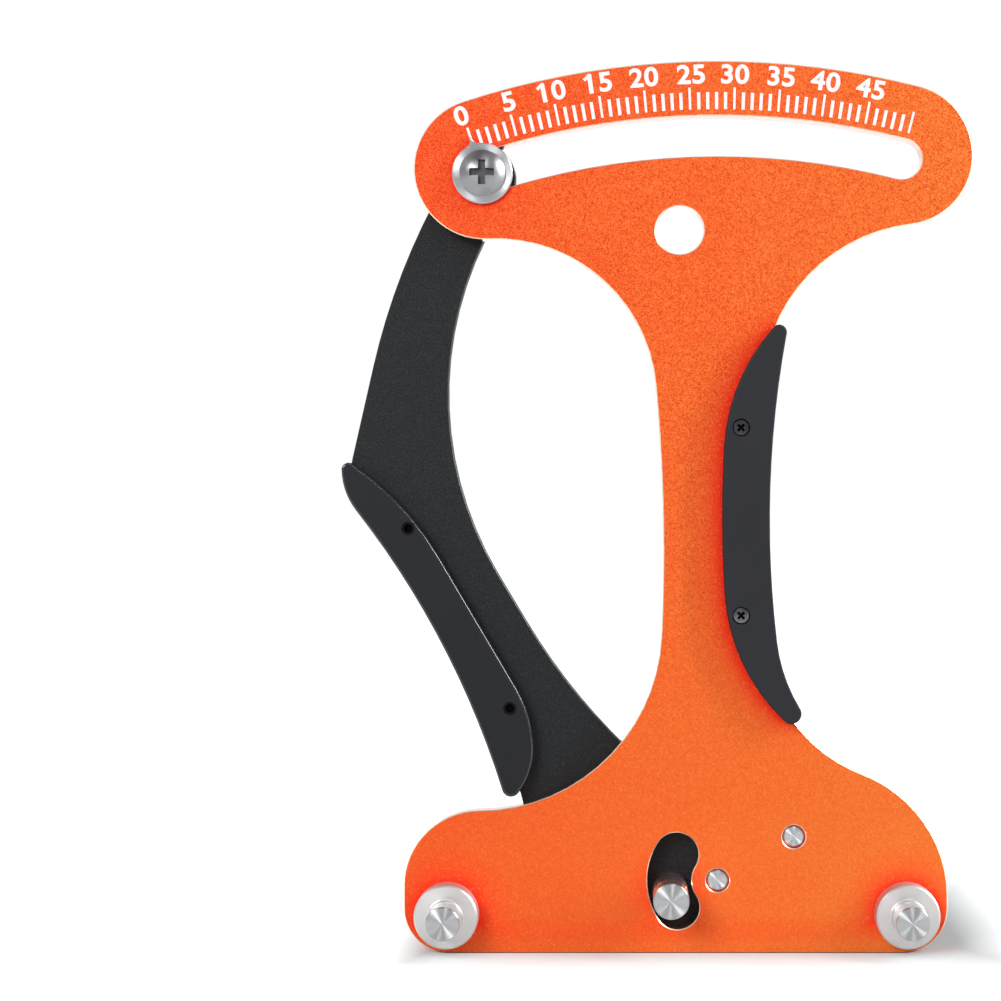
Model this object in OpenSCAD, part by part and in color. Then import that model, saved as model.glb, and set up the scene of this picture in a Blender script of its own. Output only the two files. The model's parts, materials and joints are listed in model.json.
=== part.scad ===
// Spoke tension meter: a flat body with two fixed posts and a dial arc, and a sprung
// squeeze lever behind it that carries the moving post and the pointer.
// X is to the right, Y goes from the dial side to the back, Z is up. The origin is on the
// bottom edge of the body plate, midway between the fixed posts, in the middle of its thickness.

/* [Measuring head] */
// Distance between the two fixed posts
post_span = 104; // [98:0.5:112]
// Height of the fixed posts above the bottom edge
post_rise = 9; // [8.5:0.1:12]
// Diameter of a fixed post
fixed_post_d = 7.6; // [6.6:0.1:8.6]
// Diameter of the moving post
moving_post_d = 8; // [6.5:0.1:9]
// How far the posts stand out of the plate's front face
post_reach = 14; // [11:0.5:18]
// Diameter of a fixed post's flange
flange_d = 14.4; // [12:0.1:17]
// Thickness of a fixed post's flange
flange_t = 5.4; // [3:0.1:7]
// Distance from the pivot to the moving post
post_arm = 11; // [10.5:0.1:12.5]
// Angle of the moving post below level at rest
post_droop = 13.3; // [8:0.1:16]

/* [Pivot and dial] */
// Distance of the pivot to the right of the middle
pivot_x = 9.3; // [6:0.1:12]
// Height of the pivot above the bottom edge
pivot_rise = 16.5; // [15:0.1:19]
// Diameter of the pivot pin
pivot_pin_d = 4.8; // [4:0.1:5.6]
// Distance from the pivot to the pointer screw
pointer_r = 168.9; // [155:0.5:180]
// Angle of the pointer left of upright at rest
pointer_tilt = 18.4; // [16:0.1:20]
// Angle that the lever turns when it is squeezed
squeeze = 32.7; // [28:0.1:34]
// Width of the dial slot
dial_slot_w = 9.25; // [8.6:0.05:11]
// Number of divisions on the scale
scale_divisions = 50; // [40:1:50]
// Angle of one division
division = 0.6545; // [0.5:0.0005:0.66]

/* [Body plate] */
// Thickness of the body plate
plate_t = 5; // [4:0.25:6]
// Height of the dial band above the slot's middle
rim_w = 17; // [15:0.5:20]
// Corner radius of the dial's two ends
lobe_r = 16; // [12:0.1:17]
// How far the waist's left edge lies to the left of the middle
waist_left_out = 3; // [1:0.1:6]
// Width of the waist
waist_w = 21.7; // [20:0.1:26]
// Height of the middle of the waist
waist_rise = 97; // [90:0.5:104]
// Radius of the hollow between the waist and the dial's left end
throat_left_r = 36.5; // [30:0.1:42]
// Radius of the hollow between the waist and the dial's right end
throat_right_r = 38; // [30:0.1:42]
// Radius of the hollow above the left foot
hip_left_r = 41.5; // [34:0.5:46]
// Radius of the hollow above the right foot
hip_right_r = 35.1; // [28:0.1:38]
// Radius of the shoulder over the left post
foot_left_r = 17; // [14:0.5:22]
// Radius of the shoulder over the right post
foot_right_r = 29.5; // [24:0.5:34]
// Radius of the two bottom corners
corner_r = 10.2; // [8.5:0.1:11]
// Diameter of the hang hole
hang_hole_d = 11; // [8:0.5:12]
// Distance of the hang hole below the slot's middle
hang_drop = 21.15; // [18:0.05:26]

/* [Lever] */
// Thickness of the lever arm
lever_t = 4; // [3:0.25:5]
// Radius of the lever's top end
lever_tip_r = 7.2; // [6:0.1:9]
// Radius of the lever's end around the pivot
lever_boss_r = 12.5; // [10:0.1:13]
// Diameter of the pointer washer
pointer_washer_d = 13.7; // [12:0.1:15]
// Length of the needle beyond the pointer washer
needle_l = 1.8; // [1:0.1:2.4]
// Thread diameter of the pointer screw
pointer_screw_d = 5; // [4:0.5:5]
// Head diameter of the pointer screw
pointer_head_d = 10.4; // [9:0.1:11.5]

/* [Grips] */
// Thickness of a grip shell over the metal
grip_t = 4; // [3:0.25:6]
// Thread diameter of the grip screws
grip_screw_d = 2; // [1.6:0.1:2.4]
// Head diameter of the grip screws
grip_head_d = 3.4; // [3:0.1:3.8]

/* [Return spring] */
// Diameter of the spring's guide rod
rod_d = 3; // [2.5:0.1:3.4]
// Outer diameter of the spring
spring_d = 8; // [7:0.1:8.4]
// Wire diameter of the spring
wire_d = 1; // [0.7:0.05:1.1]
// Number of turns in the spring
turns = 5.5; // [4:0.5:6]
// Diameter of the spring's anchor pin
anchor_pin_d = 4.8; // [4:0.1:5]
// Diameter of the trunnion pin that carries the spring block
trunnion_d = 5; // [4:0.1:5.4]

/* [Hidden] */

$fn = 64;
eps = 1;                  // how far a cut runs past a face
run_fit = 0.05;           // radial clearance of a turning fit
seat_fit = 0.02;          // radial clearance of a seated pin or screw
screw_room = 0.15;        // radial room around a grip screw where it passes through
side_gap = 0.3;           // gap between pieces that move past each other
end_play = 0.1;           // axial play of the lever on its pivot
edge_relief = 0.25;       // width of the ring left free around a pin's end
relief_depth = 1.2;       // depth of that ring
pin_recess = 0.4;         // depth of a pin's end below the plate's face

// Levels along Y, from the dial side to the back
front_y = -plate_t / 2;
back_y = plate_t / 2;
washer_t = 0.7;           // thrust washer between plate and lever
lever_y0 = back_y + washer_t + end_play;
lever_y1 = lever_y0 + lever_t;
lever_mid_y = (lever_y0 + lever_y1) / 2;

// Main points, as [x, z]
pivot = [pivot_x, pivot_rise];
post_left = [-post_span / 2, post_rise];
post_right = [post_span / 2, post_rise];
post_rest = 180 + post_droop;
moving_post_at = polar(pivot, post_arm, post_rest);
pointer_rest = 90 + pointer_tilt;
pointer_end = pointer_rest - squeeze;
pointer_at = polar(pivot, pointer_r, pointer_rest);
hang_tilt = 3.34;         // angle of the hang hole left of upright
hang_hole_at = polar(pivot, pointer_r - hang_drop, 90 + hang_tilt);
anchor_out = 17.3;
anchor_up = 9.9;
anchor_at = pivot + [anchor_out, anchor_up];
trunnion_out = 14;
trunnion_up = 16;
trunnion_at = pivot + [-trunnion_out, trunnion_up];

// ---- plane geometry ----

function dir(a) = [cos(a), sin(a)];
function polar(c, r, a) = c + r * dir(a);
function turn(a) = let(t = a - 360 * floor(a / 360)) t > 359.5 ? 0 : t;
function limit(v, low, high) = max(low, min(high, v));

// The point at distance d1 from c1 and d2 from c2, left of the way from c1 to c2
function meet(c1, d1, c2, d2) =
    let(v = c2 - c1, far = norm(v), u = v / far,
        along = (far * far + d1 * d1 - d2 * d2) / (2 * far),
        off = sqrt(max(0, d1 * d1 - along * along)))
    c1 + along * u + off * [-u[1], u[0]];

// An outline is a chain of arcs [x, z, radius], run counterclockwise, and the radius is
// negative where the edge is hollow. Neighbours are joined by their common tangent.
function arc(c, r) = [c[0], c[1], r];
function heading(p, q) =
    let(v = [q[0] - p[0], q[1] - p[1]])
    atan2(v[1], v[0]) + asin(limit((p[2] - q[2]) / norm(v), -1, 1));
function arc_steps(span, r) = max(1, ceil(max(abs(span) / 6, abs(span * r) * PI / 180 / 6)));
function arc_points(a, h0, h1) =
    let(span = a[2] > 0 ? turn(h1 - h0) : -turn(h0 - h1), n = arc_steps(span, a[2]))
    [for (j = [0:n]) let(h = h0 + span * j / n) [a[0] + a[2] * sin(h), a[1] - a[2] * cos(h)]];
function outline(arcs, grow = 0) =
    let(n = len(arcs),
        g = [for (a = arcs) [a[0], a[1], a[2] + grow]],
        h = [for (i = [0:n - 1]) heading(g[i], g[(i + 1) % n])],
        p = [for (i = [0:n - 1]) each arc_points(g[i], h[(i + n - 1) % n], h[i])],
        m = len(p))
    [for (i = [0:m - 1]) if (norm(p[i] - p[(i + m - 1) % m]) > 0.02) p[i]];

// ---- outlines ----

// Body plate: the dial's ends are round about the slot's ends, and each hollow touches
// its two neighbours
waist_r = 402;
waist_lean = 5.7;         // the waist's right side is narrowest this much above its middle
end_left = 9.9;           // plate beyond the middle of the left post
end_right = 9.5;          // plate beyond the middle of the right post
side_run_left = 5.1;        // straight run of the left side between corner and shoulder
side_run_right = 2.7;
lobe_tilt = 0.25;         // the dial's left end is round about a point this much lower
dial_edge_r = pointer_r + rim_w;
lobe_left = polar(pivot, dial_edge_r - lobe_r, pointer_rest - lobe_tilt);
lobe_right = polar(pivot, dial_edge_r - lobe_r, pointer_end);
side_left = post_left[0] - end_left;
side_right = post_right[0] + end_right;
corner_left = [side_left + corner_r, corner_r];
corner_right = [side_right - corner_r, corner_r];
foot_left = [side_left + foot_left_r, corner_r + side_run_left];
foot_right = [side_right - foot_right_r, corner_r + side_run_right];
waist_left = [-waist_left_out - waist_r, waist_rise - waist_lean];
waist_right = [waist_w - waist_left_out + waist_r, waist_rise + waist_lean];
throat_left = meet(lobe_left, lobe_r + throat_left_r, waist_left, waist_r - throat_left_r);
throat_right = meet(waist_right, waist_r - throat_right_r, lobe_right, lobe_r + throat_right_r);
hip_left = meet(waist_left, waist_r - hip_left_r, foot_left, foot_left_r + hip_left_r);
hip_right = meet(foot_right, foot_right_r + hip_right_r, waist_right, waist_r - hip_right_r);
plate_arcs = [
    arc(corner_left, corner_r), arc(corner_right, corner_r), arc(foot_right, foot_right_r),
    arc(hip_right, -hip_right_r), arc(waist_right, -waist_r),
    arc(throat_right, -throat_right_r), arc(lobe_right, lobe_r), arc(pivot, dial_edge_r),
    arc(lobe_left, lobe_r), arc(throat_left, -throat_left_r), arc(waist_left, -waist_r),
    arc(hip_left, -hip_left_r), arc(foot_left, foot_left_r)];

// Lever arm: a long bow from the pointer round the outside of the finger gap to the pivot
lever_back_r = 154.1;     // outer edge above the elbow
lever_elbow_r = 11.2;
lever_palm_r = 166.8;     // hollow outer edge below the elbow
lever_heel_r = 16;
lever_root_r = 40;        // hollow above the pivot
lever_reach_r = 139.2;    // long hollow inner edge
lever_bow_r = 80.3;       // hollow inner edge below the pointer
lever_root_run = 4;       // straight runs between neighbours
lever_inner_run = 1.4;
lever_outer_run = 1.6;
elbow_out = 72.6;
elbow_up = 93.5;
heel_out = 25.3;
heel_up = 3;
inner_out = 55.6;         // a point of the long inner edge, and the angle that it faces
inner_up = 84;
inner_faces = 19.2;
lever_elbow = pivot + [-elbow_out, elbow_up];
lever_heel = pivot + [-heel_out, heel_up];
lever_reach = polar(pivot + [-inner_out, inner_up], lever_reach_r, inner_faces);
lever_root = meet(pivot, lever_boss_r + lever_root_r + lever_root_run,
                  lever_reach, lever_reach_r - lever_root_r);
lever_back = meet(pointer_at, lever_back_r - lever_tip_r,
                  lever_elbow, lever_back_r - lever_elbow_r + lever_outer_run);
lever_palm = meet(lever_heel, lever_palm_r + lever_heel_r, lever_elbow, lever_palm_r + lever_elbow_r);
lever_bow = meet(lever_reach, lever_reach_r - lever_bow_r + lever_inner_run,
                 pointer_at, lever_bow_r + lever_tip_r);
lever_arcs = [
    arc(pointer_at, lever_tip_r), arc(lever_back, lever_back_r),
    arc(lever_elbow, lever_elbow_r), arc(lever_palm, -lever_palm_r),
    arc(lever_heel, lever_heel_r), arc(pivot, lever_boss_r), arc(lever_root, -lever_root_r),
    arc(lever_reach, -lever_reach_r), arc(lever_bow, -lever_bow_r)];

// Body grip: a spindle along the waist. Each arc at its ends starts from a small round tip.
body_grip_on = 0.4;       // from the waist's right edge to the grip's middle
body_grip_drop = 2;       // the grip's middle below the waist's
body_grip_tip_r = 1.7;
body_grip_toe_r = 2.3;
body_grip_tip_out = 4;
body_grip_tip_up = 45.6;
body_grip_toe_out = 6.7;
body_grip_toe_down = 40.4;
body_grip_top_r = 43.7;
body_grip_low_r = 42.8;
body_grip_edge_r = 282.9;   // long edge on the plate
body_grip_over = 8.8;     // how far that edge lies in from the grip's middle
body_grip_edge_up = 4.2;
body_grip_palm_r = 232.2; // long hollow outer edge
body_grip_thumb_r = 37.3; // short hollow above the toe
body_grip_palm_turn = -10.4;
body_grip_at = [waist_w - waist_left_out + body_grip_on, waist_rise - body_grip_drop];
body_grip_tip = body_grip_at + [body_grip_tip_out, body_grip_tip_up];
body_grip_toe = body_grip_at + [body_grip_toe_out, -body_grip_toe_down];
body_grip_edge = body_grip_at + [body_grip_edge_r - body_grip_over, body_grip_edge_up];
body_grip_top = meet(body_grip_edge, body_grip_edge_r - body_grip_top_r,
                     body_grip_tip, body_grip_top_r - body_grip_tip_r);
body_grip_low = meet(body_grip_toe, body_grip_low_r - body_grip_toe_r,
                     body_grip_edge, body_grip_edge_r - body_grip_low_r);
body_grip_palm = polar(body_grip_tip, body_grip_palm_r + body_grip_tip_r, body_grip_palm_turn);
body_grip_thumb = meet(body_grip_toe, body_grip_thumb_r + body_grip_toe_r,
                       body_grip_palm, body_grip_palm_r - body_grip_thumb_r);
body_grip_arcs = [
    arc(body_grip_tip, body_grip_tip_r), arc(body_grip_top, body_grip_top_r),
    arc(body_grip_edge, body_grip_edge_r), arc(body_grip_low, body_grip_low_r),
    arc(body_grip_toe, body_grip_toe_r), arc(body_grip_thumb, -body_grip_thumb_r),
    arc(body_grip_palm, -body_grip_palm_r)];
body_grip_screw_in = 4.6;
body_grip_screw_up = 24.1;
body_grip_screw_down = 18.3;
body_grip_screws_at = [body_grip_at + [-body_grip_screw_in, body_grip_screw_up],
                       body_grip_at + [-body_grip_screw_in, -body_grip_screw_down]];

// Lever grip: a pistol shape along the lever's outer edge, from a nose to a toe
lever_grip_tip_r = 1.6;
lever_grip_nose_r = 15.6;
lever_grip_palm_r = 201.4;
lever_grip_toe_r = 2.1;
lever_grip_sole_r = 16.2;
lever_grip_heel_r = 29.6;
lever_grip_crown_r = 68.2;
lever_grip_tip_out = 84;
lever_grip_tip_up = 93.2;
lever_grip_toe_out = 47;
lever_grip_toe_up = 20.8;
lever_grip_tip = pivot + [-lever_grip_tip_out, lever_grip_tip_up];
lever_grip_toe = pivot + [-lever_grip_toe_out, lever_grip_toe_up];
lever_grip_nose = polar(lever_grip_tip, lever_grip_nose_r - lever_grip_tip_r, 1.2);
lever_grip_palm = meet(lever_grip_toe, lever_grip_palm_r + lever_grip_toe_r,
                       lever_grip_nose, lever_grip_palm_r + lever_grip_nose_r);
lever_grip_sole = polar(lever_grip_toe, lever_grip_sole_r - lever_grip_toe_r, 141.5);
lever_grip_heel = polar(lever_grip_sole, lever_grip_heel_r - lever_grip_sole_r, 184.3);
lever_grip_arcs = [
    arc(lever_grip_tip, lever_grip_tip_r), arc(lever_grip_nose, lever_grip_nose_r),
    arc(lever_grip_palm, -lever_grip_palm_r), arc(lever_grip_toe, lever_grip_toe_r),
    arc(lever_grip_sole, lever_grip_sole_r), arc(lever_grip_heel, lever_grip_heel_r),
    arc(polar(lever_grip_tip, lever_grip_crown_r - lever_grip_tip_r, 235), lever_grip_crown_r)];
lever_grip_screw_out = [70.4, 47.2];
lever_grip_screw_up = [79.8, 38.8];
lever_grip_screws_at = [for (i = [0, 1]) pivot + [-lever_grip_screw_out[i], lever_grip_screw_up[i]]];

// ---- helpers ----

// A flat piece with a given outline, from y0 to y1
module slab(points, y0, y1) {
    translate([0, y1, 0]) rotate([90, 0, 0]) linear_extrude(height = y1 - y0) polygon(points);
}

// A round bar or hole along Y at the point c
module bar(c, d, y0, y1) {
    translate([c[0], y1, c[1]]) rotate([90, 0, 0]) cylinder(h = y1 - y0, d = d);
}

// A turned piece along Y at the point c, from a profile of [radius, y] points
module turned(c, profile) {
    translate([c[0], 0, c[1]]) rotate([90, 0, 0]) rotate_extrude()
        polygon([for (p = profile) [p[0], -p[1]]]);
}

// A nut along Y, from y0 to y1
module nut_y(c, flats, bore_d, y0, y1) {
    difference() {
        translate([c[0], y1, c[1]]) rotate([90, 0, 0])
            cylinder(h = y1 - y0, d = flats / cos(30), $fn = 6);
        bar(c, bore_d, y0 - eps, y1 + eps);
    }
}

// A slot of width w along an arc about the pivot, from the angle a0 to a1
module arc_slot(r, w, a0, a1, y0, y1) {
    slab(outline([arc(polar(pivot, r, a0), w / 2), arc(pivot, r + w / 2),
                  arc(polar(pivot, r, a1), w / 2), arc(pivot, w / 2 - r)]), y0, y1);
}

// A snap ring in a pin's groove, open towards -Z
module snap_ring(c, groove_d, outer_d, y0, y1) {
    difference() {
        bar(c, outer_d, y0, y1);
        bar(c, groove_d + 2 * seat_fit, y0 - eps, y1 + eps);
        translate([c[0] - groove_d * 0.35, y0 - eps, c[1] - outer_d])
            cube([groove_d * 0.7, y1 - y0 + 2 * eps, outer_d]);
    }
}

pin_edge = 0.3;           // chamfer at a pin's ends
ring_t = 0.8;             // thickness of a snap ring
ring_w = 1.9;             // how far a snap ring stands out around its pin
ring_tail = 0.9;          // pin left beyond the snap ring
groove_deep = 0.45;       // depth of the groove
groove_play = 0.05;       // play of the ring in its groove

// A pin through the plate's front face: plain shank, then a groove for its snap ring
module grooved_pin(c, d, collar_d, collar_y, ring_y) {
    ends = ring_y + ring_t + ring_tail;
    turned(c, [
        [0, front_y + pin_recess], [d / 2 - pin_edge, front_y + pin_recess],
        [d / 2, front_y + pin_recess + pin_edge], [d / 2, back_y],
        [collar_d / 2, back_y], [collar_d / 2, collar_y], [d / 2, collar_y],
        [d / 2, ring_y - groove_play], [d / 2 - groove_deep, ring_y - groove_play],
        [d / 2 - groove_deep, ring_y + ring_t + groove_play],
        [d / 2, ring_y + ring_t + groove_play], [d / 2, ends - pin_edge],
        [d / 2 - pin_edge, ends], [0, ends]]);
}

// The hole for a pin in the plate, with the ring left free at the front
module pin_hole(c, d) {
    bar(c, d + 2 * seat_fit, front_y - eps, back_y + eps);
    bar(c, d + 2 * edge_relief, front_y - eps, front_y + relief_depth);
}

// ---- body side ----

post_shank_d = 5;
kidney_w = moving_post_d + 2;
kidney_low = 20.7;        // room in the kidney slot below the post at rest
kidney_high = 12.6;       // room above it when squeezed

module body_plate() {
    color("orangered") difference() {
        slab(outline(plate_arcs), front_y, back_y);
        arc_slot(pointer_r, dial_slot_w, pointer_end, pointer_rest, front_y - eps, back_y + eps);
        arc_slot(post_arm, kidney_w, post_rest - squeeze - kidney_high, post_rest + kidney_low,
                 front_y - eps, back_y + eps);
        bar(hang_hole_at, hang_hole_d, front_y - eps, back_y + eps);
        for (c = [post_left, post_right])
            bar(c, post_shank_d + 2 * seat_fit, front_y - eps, back_y + eps);
        for (c = body_grip_screws_at) bar(c, grip_screw_d + 2 * screw_room, front_y - eps, back_y + eps);
        pin_hole(pivot, pivot_pin_d);
        pin_hole(anchor_at, anchor_pin_d);
    }
}

// The scale's strokes, a raised print on the dial band
mark_t = 0.08;
mark_from = pointer_r + dial_slot_w / 2 + 1.4;
short_mark = [3.9, 0.75];
long_mark = [5, 0.55];

module scale_marks() {
    color("white") for (i = [0:scale_divisions]) {
        size = i % 5 == 0 ? long_mark : short_mark;
        translate([pivot[0], front_y, pivot[1]]) rotate([90, 0, 0])
            rotate([0, 0, pointer_rest - i * division])
                translate([mark_from, -size[1] / 2, 0]) cube([size[0], size[1], mark_t]);
    }
}

// A fixed post: riveted shank, flange, small root step and barrel
root_step = 0.45;
post_edge = 0.2;
flange_edge = 0.35;

module fixed_post(c) {
    tip_y = front_y - post_reach;
    face_y = front_y - flange_t;
    r = fixed_post_d / 2;
    turned(c, [
        [0, tip_y], [r - post_edge, tip_y], [r, tip_y + post_edge], [r, face_y - root_step],
        [r + root_step, face_y - root_step / 3], [r + root_step, face_y],
        [flange_d / 2 - flange_edge, face_y], [flange_d / 2, face_y + flange_edge],
        [flange_d / 2, front_y], [post_shank_d / 2, front_y], [post_shank_d / 2, back_y],
        [0, back_y]]);
}

module left_post() { color("gainsboro") fixed_post(post_left); }
module right_post() { color("gainsboro") fixed_post(post_right); }

// One half of a grip. It closes on the other half at mid_y, around the metal's edge, and
// the metal lies in a pocket that starts at the level metal_y.
module grip_half(arcs, metal_arcs, metal_y, mid_y) {
    pocket_fit = 0.1;
    outer_y = metal_y + sign(metal_y - mid_y) * grip_t;
    difference() {
        slab(outline(arcs), min(outer_y, mid_y), max(outer_y, mid_y));
        slab(outline(metal_arcs, pocket_fit),
             min(metal_y, mid_y + (mid_y - metal_y)), max(metal_y, mid_y + (mid_y - metal_y)));
    }
}

screw_head_t = 1.3;
screw_bite = 3.2;         // how far a grip screw reaches into its insert
insert_d = 3.5;
lever_insert_d = 3;       // the lever grip's, whose upper hole is near the rim
ear_wall = 0.8;           // wall round a screw head's recess in the lever grip
head_room = 0.3;          // ring left free around a screw head
head_sink = 2.4;          // depth of a screw head's recess

module body_grip_front() {
    color("dimgray") difference() {
        grip_half(body_grip_arcs, plate_arcs, front_y, 0);
        for (c = body_grip_screws_at) {
            bar(c, grip_screw_d + 2 * screw_room, front_y - grip_t - eps, eps);
            bar(c, grip_head_d + 2 * head_room, front_y - grip_t - eps, front_y - grip_t + head_sink);
        }
    }
}

module body_grip_back() {
    color("dimgray") difference() {
        grip_half(body_grip_arcs, plate_arcs, back_y, 0);
        for (c = body_grip_screws_at) {
            bar(c, grip_screw_d + 2 * screw_room, -eps, back_y);
            bar(c, insert_d + 2 * seat_fit, back_y - seat_fit, back_y + screw_bite);
        }
    }
}

// A small pan-head screw along Y. Its head is at y0, and it points to y1.
module grip_screw(c, y0, y1) {
    way = sign(y1 - y0);
    neck = y0 + way * screw_head_t;
    slot_w = 0.6;
    difference() {
        union() {
            bar(c, grip_head_d, min(y0, neck), max(y0, neck));
            bar(c, grip_screw_d, min(neck, y1), max(neck, y1));
        }
        for (a = [45, 135]) translate([c[0], y0, c[1]]) rotate([0, a, 0])
            cube([grip_head_d * 0.62, 1.5, slot_w], center = true);
    }
}

module body_grip_screws() {
    color("#1c1c1c") for (c = body_grip_screws_at)
        grip_screw(c, front_y - grip_t + head_sink - screw_head_t, back_y + screw_bite - 0.2);
}

module grip_insert(c, d, y0, y1) {
    difference() {
        bar(c, d, y0, y1);
        bar(c, grip_screw_d + 2 * seat_fit, y0 - eps, y1 + eps);
    }
}

module body_grip_inserts() {
    color("goldenrod") for (c = body_grip_screws_at) grip_insert(c, insert_d, back_y, back_y + screw_bite);
}

module pivot_pin() {
    color("gainsboro") grooved_pin(pivot, pivot_pin_d, pivot_pin_d, back_y, lever_y1 + side_gap);
}

thrust_washer_d = 11;

module pivot_washer() {
    color("ivory") difference() {
        bar(pivot, thrust_washer_d, back_y, back_y + washer_t);
        bar(pivot, pivot_pin_d + 2 * run_fit, back_y - eps, back_y + washer_t + eps);
    }
}

module pivot_clip() {
    y = lever_y1 + side_gap;
    color("dimgray")
        snap_ring(pivot, pivot_pin_d - 2 * groove_deep, pivot_pin_d + 2 * ring_w, y, y + ring_t);
}

// ---- lever side ----

module lever_arm() {
    color("#26292c") difference() {
        slab(outline(lever_arcs), lever_y0, lever_y1);
        bar(pivot, pivot_pin_d + 2 * run_fit, lever_y0 - eps, lever_y1 + eps);
        bar(moving_post_at, post_shank_d + 2 * seat_fit, lever_y0 - eps, lever_y1 + eps);
        bar(trunnion_at, trunnion_d + 2 * seat_fit, lever_y0 - eps, lever_y1 + eps);
        bar(pointer_at, pointer_screw_d + 2 * seat_fit, lever_y0 - eps, lever_y1 + eps);
        for (c = lever_grip_screws_at) bar(c, grip_screw_d + 2 * screw_room, lever_y0 - eps, lever_y1 + eps);
    }
}

module moving_post() {
    r = moving_post_d / 2;
    tip_y = front_y - post_reach;
    color("gainsboro") turned(moving_post_at, [
        [0, tip_y], [r - post_edge, tip_y], [r, tip_y + post_edge], [r, lever_y0],
        [post_shank_d / 2, lever_y0], [post_shank_d / 2, lever_y1], [0, lever_y1]]);
}

module lever_grip_front() {
    color("dimgray") difference() {
        grip_half(lever_grip_arcs, lever_arcs, lever_y0, lever_mid_y);
        for (c = lever_grip_screws_at) {
            bar(c, lever_insert_d + 2 * seat_fit, lever_y0 - grip_t - eps, lever_y0 + seat_fit);
            bar(c, grip_screw_d + 2 * screw_room, lever_y0, lever_mid_y + eps);
        }
    }
}

// A round ear carries the upper screw's head, which lies close to the rim
module lever_grip_back() {
    outer_y = lever_y1 + grip_t;
    recess_d = grip_head_d + 2 * head_room;
    color("dimgray") difference() {
        union() {
            grip_half(lever_grip_arcs, lever_arcs, lever_y1, lever_mid_y);
            bar(lever_grip_screws_at[0], recess_d + 2 * ear_wall, lever_y1, outer_y);
        }
        for (c = lever_grip_screws_at) {
            bar(c, grip_screw_d + 2 * screw_room, lever_mid_y - eps, outer_y + eps);
            bar(c, recess_d, outer_y - head_sink, outer_y + eps);
        }
    }
}

insert_sink = 0.6;        // depth of the lever grip's inserts below the grip's face

module lever_grip_inserts() {
    color("#303234") for (c = lever_grip_screws_at)
        grip_insert(c, lever_insert_d, lever_y0 - grip_t + insert_sink, lever_y0);
}

module lever_grip_screws() {
    color("#1c1c1c") for (c = lever_grip_screws_at)
        grip_screw(c, lever_y1 + grip_t - head_sink + screw_head_t, lever_y0 - grip_t + insert_sink + 1);
}

// Pointer stack at the lever's top end: screw, pointer washer, bush in the slot, arm, nut
pointer_washer_t = 1;
pointer_y1 = front_y - side_gap;
pointer_y0 = pointer_y1 - pointer_washer_t;
bush_d = dial_slot_w - 0.65;
needle_half = 1.3;        // half width of the needle's root
needle_in = 0.25;         // how far the needle's root reaches into the washer

// Half width of the needle at a share t of its length, which is hollow towards the tip
function needle_w(t) = 0.06 + (needle_half - 0.06) * pow(1 - t, 1.8);

module pointer_washer() {
    r = pointer_washer_d / 2;
    n = 8;
    from = r - needle_in;
    to = r + needle_l;
    right = [for (i = [0:n]) let(t = i / n) [from + (to - from) * t, -needle_w(t)]];
    left = [for (i = [n:-1:0]) let(t = i / n) [from + (to - from) * t, needle_w(t)]];
    color("silver") difference() {
        union() {
            bar(pointer_at, pointer_washer_d, pointer_y0, pointer_y1);
            translate([pointer_at[0], pointer_y1, pointer_at[1]]) rotate([90, 0, 0])
                rotate([0, 0, pointer_rest]) linear_extrude(height = pointer_washer_t)
                    polygon(concat(right, left));
        }
        bar(pointer_at, pointer_screw_d + 2 * seat_fit, pointer_y0 - eps, pointer_y1 + eps);
    }
}

pointer_head_t = 2.6;
cross_l = 5.6;
cross_w = 1.6;
cross_deep = 1.6;
pointer_nut_t = 4;
lock_washer_t = 1;
pointer_tail = 1.2;       // thread left beyond the nut

// Pan head: a low dome over a short straight rim
module pointer_screw() {
    r = pointer_head_d / 2;
    rim = 0.5;
    rise = pointer_head_t - rim;
    ball = (r * r + rise * rise) / (2 * rise);
    half = asin(r / ball);
    dome = [for (i = [0:12]) let(a = half * i / 12)
            [ball * sin(a), pointer_y0 - pointer_head_t + ball * (1 - cos(a))]];
    color("gainsboro") difference() {
        union() {
            turned(pointer_at, concat(dome, [[r, pointer_y0], [0, pointer_y0]]));
            bar(pointer_at, pointer_screw_d, pointer_y0 - 0.5,
                lever_y1 + lock_washer_t + pointer_nut_t + pointer_tail);
        }
        for (a = [0, 90])
            translate([pointer_at[0], pointer_y0 - pointer_head_t, pointer_at[1]])
                rotate([0, a, 0]) cube([cross_l, 2 * cross_deep, cross_w], center = true);
    }
}

module slot_bush() {
    color("ivory") difference() {
        bar(pointer_at, bush_d, pointer_y1, lever_y0);
        bar(pointer_at, pointer_screw_d + 2 * seat_fit, pointer_y1 - eps, lever_y0 + eps);
    }
}

module pointer_lock_washer() {
    color("silver") difference() {
        bar(pointer_at, pointer_screw_d * 2, lever_y1, lever_y1 + lock_washer_t);
        bar(pointer_at, pointer_screw_d + 2 * seat_fit, lever_y1 - eps, lever_y1 + lock_washer_t + eps);
    }
}

module pointer_nut() {
    y = lever_y1 + lock_washer_t;
    color("silver")
        nut_y(pointer_at, pointer_screw_d + 3, pointer_screw_d + 2 * seat_fit, y, y + pointer_nut_t);
}

// ---- return spring, behind the lever ----

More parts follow.
